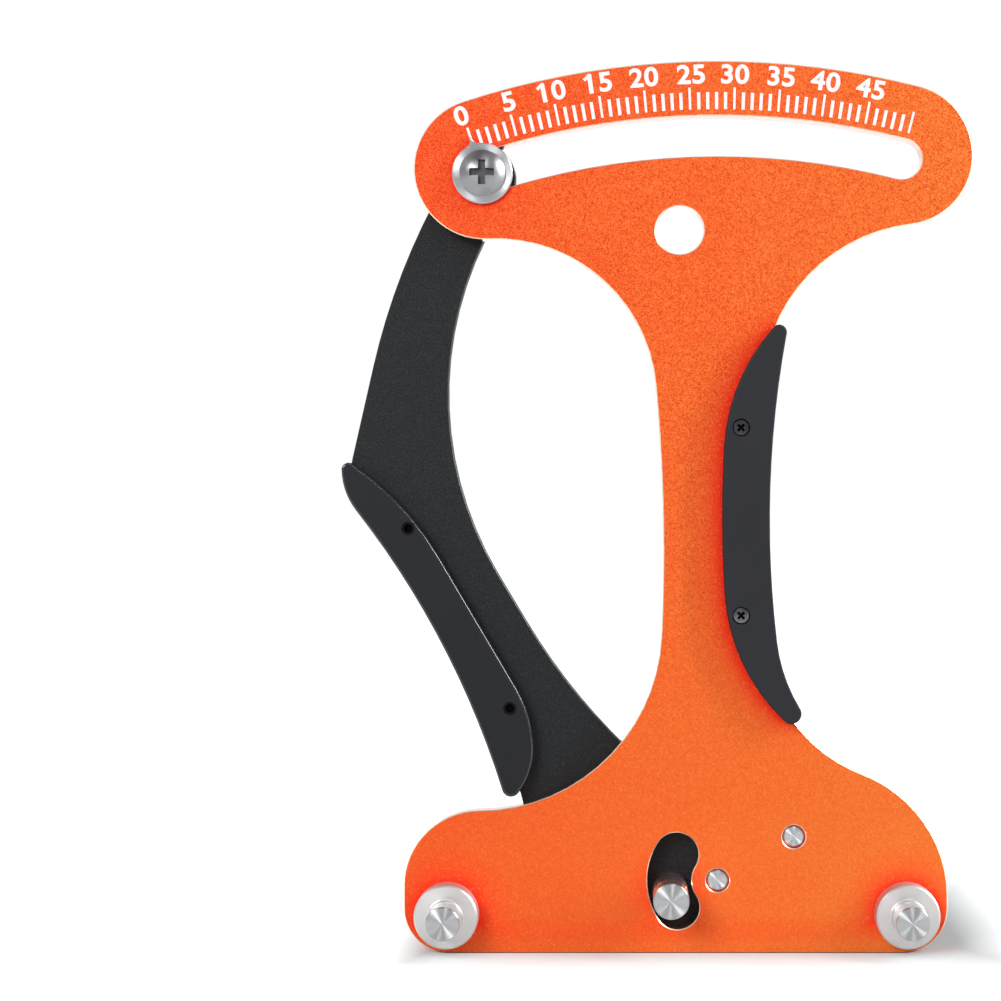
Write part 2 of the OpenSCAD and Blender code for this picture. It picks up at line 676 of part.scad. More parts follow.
rod_stand = 5;            // from the lever's back to the rod's axis
rod_y = lever_y1 + rod_stand;
eye_r = 4.5;
eye_t = 5;
lock_from = eye_r + 1.5;
lock_t = 2;
adjuster_t = 3;
seat_t = 1;
block_half = 4.5;         // from the block's middle to its flat ends
nut_gap = 0.3;            // room between the block and the end nut
end_nut_t = 2.4;
small_flats = rod_d + 2.5;
large_flats = rod_d + 4;
rod_tail = 1;
rod_reach = norm(trunnion_at - anchor_at);
rod_angle = atan2(trunnion_at[1] - anchor_at[1], trunnion_at[0] - anchor_at[0]);
seat_from = lock_from + lock_t + adjuster_t;
spring_from = seat_from + seat_t;
spring_to = rod_reach - block_half;
end_nut_from = rod_reach + block_half + nut_gap;
rod_end = end_nut_from + end_nut_t + rod_tail;

// Places a piece so that its own +Z runs along the rod from the anchor pin
module on_rod(s) {
    translate([anchor_at[0], rod_y, anchor_at[1]]) rotate([0, 90 - rod_angle, 0])
        translate([0, 0, s]) children();
}

// Through the plate, then a collar up to the rod's eye
module anchor_pin() {
    color("gainsboro") grooved_pin(anchor_at, anchor_pin_d, anchor_pin_d + 3,
        rod_y - eye_t / 2 - side_gap, rod_y + eye_t / 2 + side_gap);
}

module anchor_clip() {
    y = rod_y + eye_t / 2 + side_gap;
    color("dimgray")
        snap_ring(anchor_at, anchor_pin_d - 2 * groove_deep, anchor_pin_d + 2 * ring_w, y, y + ring_t);
}

block_y0 = lever_y1 + side_gap;
block_y1 = rod_y + block_half;
trunnion_y1 = rod_y - rod_d / 2 - 1;

module trunnion_pin() {
    color("silver") turned(trunnion_at, [
        [0, lever_y0 + pin_edge], [trunnion_d / 2, lever_y0 + pin_edge],
        [trunnion_d / 2, trunnion_y1 - pin_edge], [trunnion_d / 2 - pin_edge, trunnion_y1],
        [0, trunnion_y1]]);
}

// The block turns on the trunnion pin, and the rod slides through it
module spring_block() {
    rod_room = 0.35;
    color("silver") difference() {
        intersection() {
            bar(trunnion_at, block_half * 2.5, block_y0, block_y1);
            on_rod(rod_reach) translate([-block_half, block_y0 - rod_y, -block_half])
                cube([2 * block_half, block_y1 - block_y0, 2 * block_half]);
        }
        on_rod(rod_reach - 2 * block_half) cylinder(h = 4 * block_half, d = rod_d + 2 * rod_room);
        bar(trunnion_at, trunnion_d + 2 * run_fit, block_y0 - eps, trunnion_y1 + side_gap);
    }
}

module spring_rod() {
    color("gray") difference() {
        union() {
            bar(anchor_at, 2 * eye_r, rod_y - eye_t / 2, rod_y + eye_t / 2);
            on_rod(eye_r - 1) cylinder(h = rod_end - eye_r + 1, d = rod_d);
        }
        bar(anchor_at, anchor_pin_d + 2 * run_fit, rod_y - eye_t / 2 - eps, rod_y + eye_t / 2 + eps);
    }
}

// A hexagonal nut on the rod
module rod_nut(from, t, flats) {
    difference() {
        on_rod(from) cylinder(h = t, d = flats / cos(30), $fn = 6);
        on_rod(from - eps) cylinder(h = t + 2 * eps, d = rod_d + 2 * seat_fit);
    }
}

module lock_nut() { color("silver") rod_nut(lock_from, lock_t, small_flats); }
module adjuster_nut() { color("silver") rod_nut(lock_from + lock_t, adjuster_t, large_flats); }
module end_nut() { color("silver") rod_nut(end_nut_from, end_nut_t, small_flats); }

module spring_seat() {
    color("silver") difference() {
        on_rod(seat_from) cylinder(h = seat_t, d = spring_d + 0.8);
        on_rod(seat_from - eps) cylinder(h = seat_t + 2 * eps, d = rod_d + 2 * seat_fit);
    }
}

// The spring: a round wire swept along a helix, as rings of points joined by quads
module return_spring() {
    per_turn = 16;
    sides = 8;
    r = (spring_d - wire_d) / 2;
    end_gap = 0.05;
    low = wire_d / 2 + end_gap;
    high = spring_to - spring_from - low;
    rings = ceil(turns * per_turn);
    points = [for (i = [0:rings], j = [0:sides - 1])
        let(a = 360 * turns * i / rings, b = 360 * j / sides, z = low + (high - low) * i / rings,
            out = r + wire_d / 2 * cos(b))
        [out * cos(a), out * sin(a), z + wire_d / 2 * sin(b)]];
    sides_faces = [for (i = [0:rings - 1], j = [0:sides - 1]) let(k = (j + 1) % sides)
        [i * sides + j, (i + 1) * sides + j, (i + 1) * sides + k, i * sides + k]];
    caps = [[for (j = [0:sides - 1]) j], [for (j = [sides - 1:-1:0]) rings * sides + j]];
    color("lightsteelblue") on_rod(spring_from) polyhedron(points, concat(sides_faces, caps));
}

body_plate();
scale_marks();
left_post();
right_post();
body_grip_front();
body_grip_back();
body_grip_screws();
body_grip_inserts();
pivot_pin();
pivot_washer();
pivot_clip();
anchor_pin();
anchor_clip();
lever_arm();
moving_post();
lever_grip_front();
lever_grip_back();
lever_grip_screws();
lever_grip_inserts();
pointer_washer();
pointer_screw();
slot_bush();
pointer_lock_washer();
pointer_nut();
trunnion_pin();
spring_block();
spring_rod();
adjuster_nut();
lock_nut();
spring_seat();
end_nut();
return_spring();
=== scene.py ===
"""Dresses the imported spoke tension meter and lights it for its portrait.

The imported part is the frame. Each CAD node that shows gets a piece: a merged copy with its edges
broken, or a new piece turned or swept with bmesh operators from the same sizes. Every piece rides on
the body of its node. Sizes are in millimetres until a mesh is finished, and the scene is in metres.
"""

import json
import logging
import math
from collections.abc import Callable, Iterable, Sequence
from dataclasses import dataclass, field
from enum import Enum

import bmesh
import bpy
from mathutils import Matrix, Quaternion, Vector

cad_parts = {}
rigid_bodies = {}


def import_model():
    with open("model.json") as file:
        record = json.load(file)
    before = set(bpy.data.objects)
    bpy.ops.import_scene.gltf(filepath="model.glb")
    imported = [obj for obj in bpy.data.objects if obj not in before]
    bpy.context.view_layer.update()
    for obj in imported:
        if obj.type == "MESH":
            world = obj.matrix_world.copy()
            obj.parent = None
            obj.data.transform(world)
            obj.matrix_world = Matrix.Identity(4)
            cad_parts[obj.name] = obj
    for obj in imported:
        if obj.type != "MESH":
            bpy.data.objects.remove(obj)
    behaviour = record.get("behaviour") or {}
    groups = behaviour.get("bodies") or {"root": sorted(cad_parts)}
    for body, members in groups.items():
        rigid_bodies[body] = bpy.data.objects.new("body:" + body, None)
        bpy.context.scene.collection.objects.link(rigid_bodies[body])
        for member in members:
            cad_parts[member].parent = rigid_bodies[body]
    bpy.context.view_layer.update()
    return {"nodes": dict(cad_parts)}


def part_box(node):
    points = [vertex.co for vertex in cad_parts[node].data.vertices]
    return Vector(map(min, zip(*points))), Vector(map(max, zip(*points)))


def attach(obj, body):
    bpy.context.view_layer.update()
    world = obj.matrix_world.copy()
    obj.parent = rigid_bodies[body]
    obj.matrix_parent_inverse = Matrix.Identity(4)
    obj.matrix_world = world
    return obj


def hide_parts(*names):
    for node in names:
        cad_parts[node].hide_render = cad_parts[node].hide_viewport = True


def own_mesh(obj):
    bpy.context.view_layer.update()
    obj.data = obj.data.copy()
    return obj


LOG = logging.getLogger("spoke_meter")
MM = 0.001                       # a millimetre in metres
ROUND = 96                       # facets round a turned piece
SHARP = math.radians(32)         # edges over this angle stay sharp
MERGE = 0.0005                   # points of a new piece closer than this are one, in millimetres
CAD_MERGE = 0.002                # the same for a CAD node's copy
PRINT_MERGE = 0.0001             # the same for the print
SLIVER = 0.001                   # faces of a copy thinner than this go
LEVEL = 0.005                    # points of a flat face lie this close to one plane
BAND = 0.05                      # a rounded rim has a flat band of this width inside it
WALL = 0.5                       # a wall looks less than this towards the front or the back
FLOAT = "NodeSocketFloat"
VECTOR = "NodeSocketVector"
FRONT = Vector((0, -1, 0))
BACK = Vector((0, 1, 0))
MIDDLE = Vector((0.0, 0.0, 0.1))

Point = tuple[float, float]
Place = tuple[float, float, float]
Colour = tuple[float, float, float]
Socket = bpy.types.NodeSocket
Node = bpy.types.Node
Mesh = bmesh.types.BMesh
Face = bmesh.types.BMFace
Edge = bmesh.types.BMEdge
Value = float | Socket
Inputs = dict[str | int, object]


class Body(Enum):
    """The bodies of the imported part."""

    PLATE = "body"
    LEVER = "lever"
    ROD = "spring_rod"
    BLOCK = "spring_block"


def placed(name: str, data: bpy.types.ID) -> bpy.types.Object:
    """Puts a new object that shows the data in the scene."""
    made = bpy.data.objects.new(name, data)
    bpy.context.scene.collection.objects.link(made)
    return made


# ---------------- shader boards


class Board:
    """Adds and joins nodes in one shader tree."""

    def __init__(self, tree: bpy.types.NodeTree) -> None:
        """Takes the tree that the nodes go into and empties it."""
        self.tree = tree
        tree.nodes.clear()

    def add(self, kind: str, **settings: object) -> Node:
        """Adds a node.

        Args:
            kind: The node's class name after "ShaderNode", or in full for a group's ends.
            settings: Properties to set on the node.

        Returns:
            The new node.
        """
        name = kind if kind.startswith("Node") else f"ShaderNode{kind}"
        node = self.tree.nodes.new(name)
        for key, value in settings.items():
            setattr(node, key, value)
        return node

    def feed(self, node: Node, inputs: Inputs) -> Node:
        """Joins or sets a node's inputs.

        Args:
            node: The node to feed.
            inputs: A socket to join or a plain value to set, by input name or place.

        Returns:
            The same node.
        """
        for key, value in inputs.items():
            socket = node.inputs[key]
            if isinstance(value, bpy.types.NodeSocket):
                self.tree.links.new(value, socket)
            elif isinstance(value, tuple) and len(value) == 3 and socket.type == "RGBA":
                socket.default_value = (*value, 1.0)
            else:
                socket.default_value = value
        return node

    def put(self, kind: str, inputs: Inputs, **settings: object) -> Node:
        """Adds a node with its settings and feeds it."""
        return self.feed(self.add(kind, **settings), inputs)

    def object_point(self) -> Socket:
        """Gives the shaded point in the object's own coordinates."""
        return self.add("TexCoord").outputs["Object"]

    def part(self, vector: Socket, place: int) -> Socket:
        """Gives the x, y or z of a vector, for a place of 0, 1 or 2."""
        return self.put("SeparateXYZ", {0: vector}).outputs[place]

    def vector(self, operation: str, a: Socket | Place, b: Socket | Place) -> Socket:
        """Gives the result of a Vector Math node's operation on two vectors."""
        return self.put("VectorMath", {0: a, 1: b}, operation=operation).outputs[0]

    def round_axis(self, point: Socket) -> Socket:
        """Gives the direction round the Y axis through a point's origin, as the shader takes it."""
        parts = {0: self.part(point, 2), 2: self.math("MULTIPLY", self.part(point, 0), -1.0)}
        across = self.put("CombineXYZ", parts).outputs[0]
        return self.put("VectorTransform", {0: across}, vector_type="VECTOR", convert_from="OBJECT",
                        convert_to="WORLD").outputs[0]

    def noise(self, point: Socket, scale: Value, detail: float = 2.0, rough: float = 0.5) -> Socket:
        """Gives noise from 0 to 1 with scale cells per metre and octaves that are rough strong."""
        inputs = {"Vector": point, "Scale": scale, "Detail": detail, "Roughness": rough}
        return self.put("TexNoise", inputs, noise_dimensions="3D").outputs[0]

    def math(self, operation: str, a: Value, b: Value = 0.0) -> Socket:
        """Gives the result of a Math node's operation on two values."""
        return self.put("Math", {0: a, 1: b}, operation=operation).outputs[0]

    def spread(self, value: Socket, low: float, high: float, to_low: float = 0.0,
               to_high: float = 1.0) -> Socket:
        """Maps what lies between low and high to what lies between to_low and to_high."""
        inputs = {"Value": value, "From Min": low, "From Max": high, "To Min": to_low, "To Max": to_high}
        return self.put("MapRange", inputs, clamp=True).outputs[0]

    def between(self, share: Value, a: Value, b: Value) -> Socket:
        """Gives a value between a, at a share of 0, and b, at a share of 1."""
        return self.put("Mix", {0: share, 2: a, 3: b}, data_type="FLOAT", clamp_factor=True).outputs[0]

    def blend(self, share: Value, a: Colour | Socket, b: Colour | Socket) -> Socket:
        """Gives a colour between a, at a share of 0, and b, at a share of 1."""
        return self.put("Mix", {0: share, 6: a, 7: b}, data_type="RGBA", clamp_factor=True).outputs[2]

    def tinted(self, colour: Socket, tone: Value, swing: Colour) -> Socket:
        """Gives a colour, each part of it raised by its swing at a tone of 1 and lowered at -1."""
        part = self.put("VectorMath", {0: swing, "Scale": tone}, operation="SCALE").outputs[0]
        return self.vector("MULTIPLY", colour, self.vector("ADD", part, (1.0, 1.0, 1.0)))

    def bump(self, height: Socket, depth: Value) -> Socket:
        """Gives the normal of a surface with a height on it, where depth is in metres."""
        return self.put("Bump", {"Height": height, "Distance": depth}).outputs[0]

    def surface(self, inputs: Inputs) -> None:
        """Ends a material with a Principled BSDF fed with the inputs."""
        shader = self.put("BsdfPrincipled", inputs)
        self.put("OutputMaterial", {"Surface": shader.outputs[0]})


class EffectGroup:
    """A shader effect that several finishes use, built once as a node group."""

    name: str = ""
    takes: tuple[tuple[str, str, float], ...] = ()
    gives: tuple[tuple[str, str], ...] = ()

    def fill(self, board: Board, ask: Node) -> dict[str, Socket]:
        """Builds the group between its input node, ask, and the named sockets that this gives."""
        raise NotImplementedError

    def tree(self) -> bpy.types.NodeTree:
        """Gives the group's tree, which is built when it is first asked for."""
        tree = bpy.data.node_groups.get(self.name)
        if tree is not None:
            return tree
        tree = bpy.data.node_groups.new(self.name, "ShaderNodeTree")
        for name, kind, start in self.takes:
            socket = tree.interface.new_socket(name, in_out="INPUT", socket_type=kind)
            if kind == FLOAT:
                socket.default_value = start
        for name, kind in self.gives:
            tree.interface.new_socket(name, in_out="OUTPUT", socket_type=kind)
        board = Board(tree)
        ask = board.add("NodeGroupInput")
        board.put("NodeGroupOutput", self.fill(board, ask))
        return tree

    def place(self, board: Board, inputs: Inputs) -> Node:
        """Places the group in a material, fed with the inputs."""
        return board.put("Group", inputs, node_tree=self.tree())


class BlastGrain(EffectGroup):
    """The fine grain of a blasted and anodised or moulded face."""

    name = "blast_grain"
    takes = (("Point", VECTOR, 0.0), ("Grain", FLOAT, 2500.0), ("Depth", FLOAT, 0.00002))
    gives = (("Speckle", FLOAT), ("Spark", FLOAT), ("Cloud", FLOAT), ("Normal", VECTOR))

    def fill(self, board: Board, ask: Node) -> dict[str, Socket]:
        """Builds the grain. See EffectGroup.fill."""
        point, grain, depth = ask.outputs["Point"], ask.outputs["Grain"], ask.outputs["Depth"]
        fine = board.noise(point, grain, 2.0, 0.65)
        cells = board.put("TexVoronoi", {"Vector": point, "Scale": grain}, feature="F1")
        split = board.put("SeparateColor", {0: cells.outputs["Color"]})
        cloud = board.noise(point, 45.0, 3.0, 0.55)
        return {"Speckle": board.spread(fine, 0.32, 0.68),
                "Spark": board.spread(split.outputs[0], 0.86, 0.99),
                "Cloud": board.spread(cloud, 0.3, 0.7), "Normal": board.bump(fine, depth)}


class LatheMarks(EffectGroup):
    """The rings that a turning tool leaves about the Y axis through Point's origin."""

    name = "lathe_marks"
    takes = (("Point", VECTOR, 0.0), ("Rings", FLOAT, 9000.0), ("Depth", FLOAT, 0.000003))
    gives = (("Ring", FLOAT), ("Normal", VECTOR))

    def fill(self, board: Board, ask: Node) -> dict[str, Socket]:
        """Builds the rings. See EffectGroup.fill."""
        point = ask.outputs["Point"]
        flat = board.vector("MULTIPLY", point, (1, 0, 1))
        out = board.put("VectorMath", {0: flat}, operation="LENGTH").outputs["Value"]
        along = board.math("MULTIPLY", board.math("ADD", out, board.part(point, 1)), ask.outputs["Rings"])
        tool = {"W": along, "Scale": 1.0, "Detail": 3.0}
        ring = board.put("TexNoise", tool, noise_dimensions="1D").outputs[0]
        return {"Ring": board.spread(ring, 0.3, 0.7), "Normal": board.bump(ring, ask.outputs["Depth"])}


class Handling(EffectGroup):
    """Faint smudges and rubbed patches that change how a handled face shines."""

    name = "handling"
    takes = (("Point", VECTOR, 0.0), ("Base", FLOAT, 0.4), ("Swing", FLOAT, 0.08))
    gives = (("Roughness", FLOAT),)

    def fill(self, board: Board, ask: Node) -> dict[str, Socket]:
        """Builds the smudges. See EffectGroup.fill."""
        smudge = board.math("SUBTRACT", board.noise(ask.outputs["Point"], 110.0, 4.0, 0.6), 0.5)
        swing = board.math("MULTIPLY", smudge, ask.outputs["Swing"])
        return {"Roughness": board.math("ADD", ask.outputs["Base"], board.math("MULTIPLY", swing, 2.0))}


# ---------------- finishes


@dataclass(frozen=True)
class Finish:
    """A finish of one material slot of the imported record."""

    name: str
    slot: str

    def paint(self, board: Board, about: Vector) -> None:
        """Builds the finish on a board, turned about an axis through a point where it is turned."""
        raise NotImplementedError

    @staticmethod
    def handled(board: Board, point: Socket, rough: float, swing: float) -> Socket:
        """Gives a roughness that handling has changed by up to the swing."""
        return Handling().place(board, {"Point": point, "Base": rough, "Swing": swing}).outputs[0]

    def material(self, about: Vector | None = None, suffix: str = "") -> bpy.types.Material:
        """Gives the finish as a material, which is built when it is first asked for.

        Args:
            about: A point on the axis of a turned piece, in metres.
            suffix: Set where pieces need the finish about different axes.

        Returns:
            The material.
        """
        name = self.name + suffix
        material = bpy.data.materials.get(name)
        if material is None:
            material = bpy.data.materials.new(name)
            material.use_nodes = True
            self.paint(Board(material.node_tree), about or Vector())
        return material


@dataclass(frozen=True)
class Anodised(Finish):
    """Blasted aluminium with a dyed anodic film, with painted light and painted shade in its colour.

    Attributes:
        deep: Colour where the painted light is least, to the upper left: painted shade.
        light: Colour where the painted light is strongest, to the lower right, in place of the sheen of a
            lamp at the right.
        slope: How the painted light changes with x and with z, per metre.
        start: Share of light at the origin.
        grit: How strongly the blasted grain shades the film, low down and high up.
        grit_from: The heights in metres that those belong to.
        swing: How far it moves red, green and blue.
        spark: Colour of the facets that catch light.
        sparks: How strong they are.
        seat: Colour of the painted shade, a deep red, close to a part that stands on the face.
        seats: How strong that painted shade is.
        seat_reach: How far from such a part the painted shade goes, in metres.
        seat_from: Height in metres where the painted shade starts and where it is full.
        grain: Cells of the grain per metre.
        depth: Depth of the grain in metres.
        metal: How metallic the film is.
        rough: Roughness.
        specular: Strength of the clear sheen.
    """

    deep: Colour = (0.88, 0.08, 0.012)
    light: Colour = (0.9, 0.195, 0.03)
    slope: Point = (5.6, -1.3)
    start: float = 0.56
    grit: Point = (0.1, 0.32)
    grit_from: Point = (0.03, 0.13)
    swing: Colour = (0.55, 2.3, 3.2)
    spark: Colour = (1.0, 0.42, 0.16)
    sparks: float = 0.2
    seat: Colour = (1.0, 0.022, 0.005)
    seats: float = 1.0
    seat_reach: float = 0.009
    seat_from: Point = (0.002, 0.007)
    grain: float = 3400.0
    depth: float = 0.000012
    metal: float = 0.12
    rough: float = 0.45
    specular: float = 0.14

    def paint(self, board: Board, about: Vector) -> None:
        """Builds the anodised face. See Finish.paint."""
        point = board.object_point()
        grain = BlastGrain().place(board, {"Point": point, "Grain": self.grain, "Depth": self.depth})
        # Painted light: the film turns lighter and yellower to the right and lower down, as if a lamp shone
        # on it from the right.
        slope = {0: point, 1: (self.slope[0], 0.0, self.slope[1])}
        lie = board.put("VectorMath", slope, operation="DOT_PRODUCT")
        share = board.math("ADD", lie.outputs["Value"], self.start)
        share = board.math("ADD", share, board.spread(grain.outputs["Cloud"], 0.0, 1.0, -0.07, 0.07))
        film = board.blend(share, self.deep, self.light)
        height = board.part(point, 2)
        coarse = board.spread(height, *self.grit_from, *self.grit)
        tone = board.math("MULTIPLY", board.spread(grain.outputs["Speckle"], 0.0, 1.0, -1.0, 1.0), coarse)
        film = board.tinted(film, tone, self.swing)
        # Painted shade: an ambient occlusion node turns the film deep red close to the posts, grips and
        # washers that stand on it, as the shade round their seats. Low down near the floor it stays off.
        if self.seats:
            occlusion = board.put("AmbientOcclusion", {"Distance": self.seat_reach}, samples=8)
            near = board.spread(occlusion.outputs["AO"], 0.58, 0.98, self.seats, 0.0)
            near = board.math("MULTIPLY", near, board.spread(height, *self.seat_from))
            film = board.blend(near, film, self.seat)
        colour = board.blend(board.math("MULTIPLY", grain.outputs["Spark"], self.sparks), film, self.spark)
        rough = self.handled(board, point, self.rough, 0.06)
        board.surface({"Base Color": colour, "Metallic": self.metal, "Roughness": rough,
                       "Specular IOR Level": self.specular, "Normal": grain.outputs["Normal"]})


@dataclass(frozen=True)
class MilledWall(Finish):
    """A wall that was milled smooth before anodising and mirrors what is beyond it."""

    colour: Colour = (0.9, 0.16, 0.045)
    streak: Colour = (0.8, 0.11, 0.03)
    squeeze: Place = (1.0, 0.08, 1.0)
    grain: float = 2200.0

    def paint(self, board: Board, about: Vector) -> None:
        """Builds the milled wall. See Finish.paint."""
        streaks = board.noise(board.vector("MULTIPLY", board.object_point(), self.squeeze), self.grain, 3.0)
        colour = board.blend(board.spread(streaks, 0.35, 0.65), self.colour, self.streak)
        board.surface({"Base Color": colour, "Metallic": 0.85,
                       "Roughness": board.spread(streaks, 0.3, 0.7, 0.14, 0.22),
                       "Coat Weight": 1.0, "Coat Roughness": 0.04, "Coat IOR": 1.7})


@dataclass(frozen=True)
class CutEdge(Finish):
    """The narrow edge that is cut bright after anodising."""

    colour: Colour = (1.0, 0.76, 0.56)
    # Painted shade: below the foot heights the edge turns nearly black and dull, as the contact shade where
    # it stands on the floor.
    scuffed: Colour = (0.06, 0.035, 0.025)
    metal: float = 0.9
    rough: float = 0.3
    wear: float = 0.8
    grain: float = 900.0
    foot: Point = (0.0003, 0.0007)

    def paint(self, board: Board, about: Vector) -> None:
        """Builds the cut edge. See Finish.paint."""
        point = board.object_point()
        nicks = board.noise(point, self.grain, 3.0)
        worn = tuple(self.wear * part for part in self.colour)
        colour = board.blend(board.spread(nicks, 0.35, 0.65), self.colour, worn)
        # Painted contact shade along the foot.
        foot = board.spread(board.part(point, 2), *self.foot, 1.0, 0.0)
        board.surface({"Base Color": board.blend(foot, colour, self.scuffed),
                       "Metallic": board.math("MULTIPLY", board.math("SUBTRACT", 1.0, foot), self.metal),
                       "Roughness": board.spread(nicks, 0.3, 0.7, self.rough, self.rough + 0.12)})


@dataclass(frozen=True)
class Turned(Finish):
    """Metal turned on a lathe, whose rings spread each light into a wedge."""

    colour: Colour = (0.46, 0.465, 0.475)
    rough: float = 0.36
    anisotropy: float = 0.97
    rings: float = 9000.0
    depth: float = 0.0000012
    groove: float = 0.88

    def paint(self, board: Board, about: Vector) -> None:
        """Builds the turned face. See Finish.paint."""
        point = board.vector("SUBTRACT", board.object_point(), tuple(about))
        marks = LatheMarks().place(board, {"Point": point, "Rings": self.rings, "Depth": self.depth})
        ring, dark = marks.outputs["Ring"], tuple(self.groove * part for part in self.colour)
        board.surface({"Base Color": board.blend(ring, dark, self.colour), "Metallic": 1.0,
                       "Roughness": board.spread(ring, 0, 1, self.rough + 0.06, self.rough),
                       "Anisotropic": self.anisotropy, "Anisotropic Rotation": 0.25,
                       "Tangent": board.round_axis(point), "Normal": marks.outputs["Normal"]})


@dataclass(frozen=True)
class Plated(Finish):
    """Plated or phosphated steel with a soft, slightly cloudy film."""

    colour: Colour = (0.62, 0.63, 0.66)
    tint: Colour = (0.55, 0.56, 0.5)
    metal: float = 1.0
    rough: float = 0.32
    specular: float = 0.5
    clouds: float = 420.0
    grain: float = 6000.0
    depth: float = 0.000002

    def paint(self, board: Board, about: Vector) -> None:
        """Builds the plated face. See Finish.paint."""
        point = board.object_point()
        cloud = board.noise(point, self.clouds, 4.0, 0.6)
        rough = self.handled(board, point, self.rough, 0.1)
        fine = board.noise(point, self.grain, 2.0)
        board.surface({"Base Color": board.blend(board.spread(cloud, 0.4, 0.7), self.colour, self.tint),
                       "Metallic": self.metal, "Roughness": rough,
                       "Specular IOR Level": self.specular, "Normal": board.bump(fine, self.depth)})


@dataclass(frozen=True)
class Moulded(Finish):
    """Plastic moulded in a finely eroded tool."""

    colour: Colour = (0.0152, 0.0156, 0.0186)
    rubbed: Colour = (0.0172, 0.0178, 0.0212)
    grain: float = 6200.0
    depth: float = 0.000006
    rough: float = 0.5
    specular: float = 0.14

    def paint(self, board: Board, about: Vector) -> None:
        """Builds the moulded face. See Finish.paint."""
        point = board.object_point()
        grain = BlastGrain().place(board, {"Point": point, "Grain": self.grain, "Depth": self.depth})
        rough = self.handled(board, point, self.rough, 0.05)
        board.surface({"Base Color": board.blend(grain.outputs["Cloud"], self.colour, self.rubbed),
                       "Roughness": rough, "Specular IOR Level": self.specular,
                       "Normal": grain.outputs["Normal"]})


@dataclass(frozen=True)
class Ink(Finish):
    """Screen-printed ink, a little uneven where the blasted face shows through."""

    colour: Colour = (0.94, 0.93, 0.91)
    thin: Colour = (0.95, 0.8, 0.7)
    grain: float = 3800.0

    def paint(self, board: Board, about: Vector) -> None:
        """Builds the ink. See Finish.paint."""
        pinholes = board.noise(board.object_point(), self.grain, 2.0)
        board.surface({"Base Color": board.blend(board.spread(pinholes, 0.62, 0.8), self.colour, self.thin),
                       "Roughness": board.spread(pinholes, 0.3, 0.7, 0.4, 0.55)})


class Shelf:
    """Every finish of the tool, by the maker's name for it."""

    ORANGE = Anodised("orange_anodised_face", "orange_anodised")
    ORANGE_EDGE = CutEdge("orange_cut_edge", "orange_anodised")
    ORANGE_WALL = MilledWall("orange_milled_wall", "orange_anodised")
    BLACK = Anodised("black_anodised_face", "black_anodised", deep=(0.0125, 0.0138, 0.015),
                     light=(0.018, 0.0205, 0.0225), grit=(0.42, 0.95), spark=(0.05, 0.055, 0.06),
                     sparks=0.35, seats=0.0, swing=(1.0, 1.0, 1.0), grain=3600.0, metal=0.0, rough=0.5,
                     slope=(0.0, 0.0), start=0.5)
    BLACK_EDGE = CutEdge("black_cut_edge", "black_anodised", (0.055, 0.058, 0.061), metal=0.5)
    BODY_GRIP = Moulded("body_grip_moulding", "grip_plastic", (0.0235, 0.0237, 0.028),
                        (0.0265, 0.027, 0.0318))
    LEVER_GRIP = Moulded("lever_grip_moulding", "grip_plastic")
    GRIP_RIM = Moulded("rubbed_grip_rim", "grip_plastic", (0.016, 0.0165, 0.019),
                       (0.02, 0.0205, 0.023), depth=0.000002, rough=0.22, specular=0.6)
    ALUMINIUM = Turned("turned_aluminium_face", "turned_aluminium")
    SATIN = Turned("satin_aluminium_face", "turned_aluminium", (0.6, 0.585, 0.58), rough=0.42,
                   anisotropy=0.4)
    BARREL = Plated("ground_aluminium_barrel", "turned_aluminium", (0.86, 0.82, 0.81),
                    (0.8, 0.76, 0.75), rough=0.24)
    STEEL = Turned("turned_steel_face", "bright_steel", (0.52, 0.53, 0.545), anisotropy=0.95)
    BRIGHT = Plated("bright_steel_face", "bright_steel", (0.27, 0.27, 0.28), (0.24, 0.24, 0.25),
                    rough=0.36)
    # Painted shade: the steel down in a screw's cross recess is made dark, as the shade in the recess.
    DARK_RECESS = Plated("bright_steel_recess_shade", "bright_steel", (0.09, 0.09, 0.095),
                         (0.06, 0.06, 0.065), metal=0.6, rough=0.4)
    ZINC = Plated("zinc_plate", "zinc_steel")
    BLACK_SCREW = Plated("black_screw_plate", "black_screw", (0.16, 0.16, 0.17),
                         (0.05, 0.05, 0.055), rough=0.2)
    # Painted shade: the body grip screws' cross recesses, and the lever grip's screws down in its holes,
    # are made near black and dull, as the shade there.
    BLACK_RECESS = Plated("black_screw_recess_shade", "black_screw", (0.002, 0.002, 0.002),
                          (0.001, 0.001, 0.001), metal=0.0, rough=0.6, specular=0.03)
    BRASS = Plated("insert_brass_face", "insert_brass", (0.72, 0.52, 0.22), (0.66, 0.46, 0.2))
    BLACK_INSERT = Plated("insert_black_plate", "insert_black", (0.005, 0.005, 0.006),
                          (0.003, 0.003, 0.004), metal=0.0, rough=0.5, specular=0.12)
    NYLON = Moulded("natural_nylon", "nylon", (0.74, 0.72, 0.64), (0.8, 0.78, 0.7), rough=0.4)
    RING = Plated("phosphated_ring", "snap_ring_steel", (0.13, 0.13, 0.135), (0.09, 0.09, 0.1),
                  rough=0.42)
    SPRING = Plated("spring_wire", "spring_steel", (0.5, 0.52, 0.55), (0.42, 0.43, 0.46), rough=0.3)
    INK = Ink("scale_ink", "scale_print")


# ---------------- mesh shop


@dataclass(frozen=True)
class Rim:
    """How a flat face's rim is broken.

    Attributes:
        facing: Direction that the face looks in.
        size: Width of the broken edge in millimetres.
        steps: Facets from wall to face: 1 for a chamfer, more for a round.
        holes: Whether the rims of the face's holes are broken too.
    """

    facing: Vector
    size: float
    steps: int = 1
    holes: bool = True

    def rings(self) -> list[Point]:
        """Gives (way in, depth) of each ring from the wall to the face, as shares of the size."""
        if self.steps == 1:
            return [(0.0, 1.0), (1.0, 0.0)]
        angles = [math.pi / 2 * k / self.steps for k in range(self.steps + 1)]
        return [(1 - math.cos(a), 1 - math.sin(a)) for a in angles]


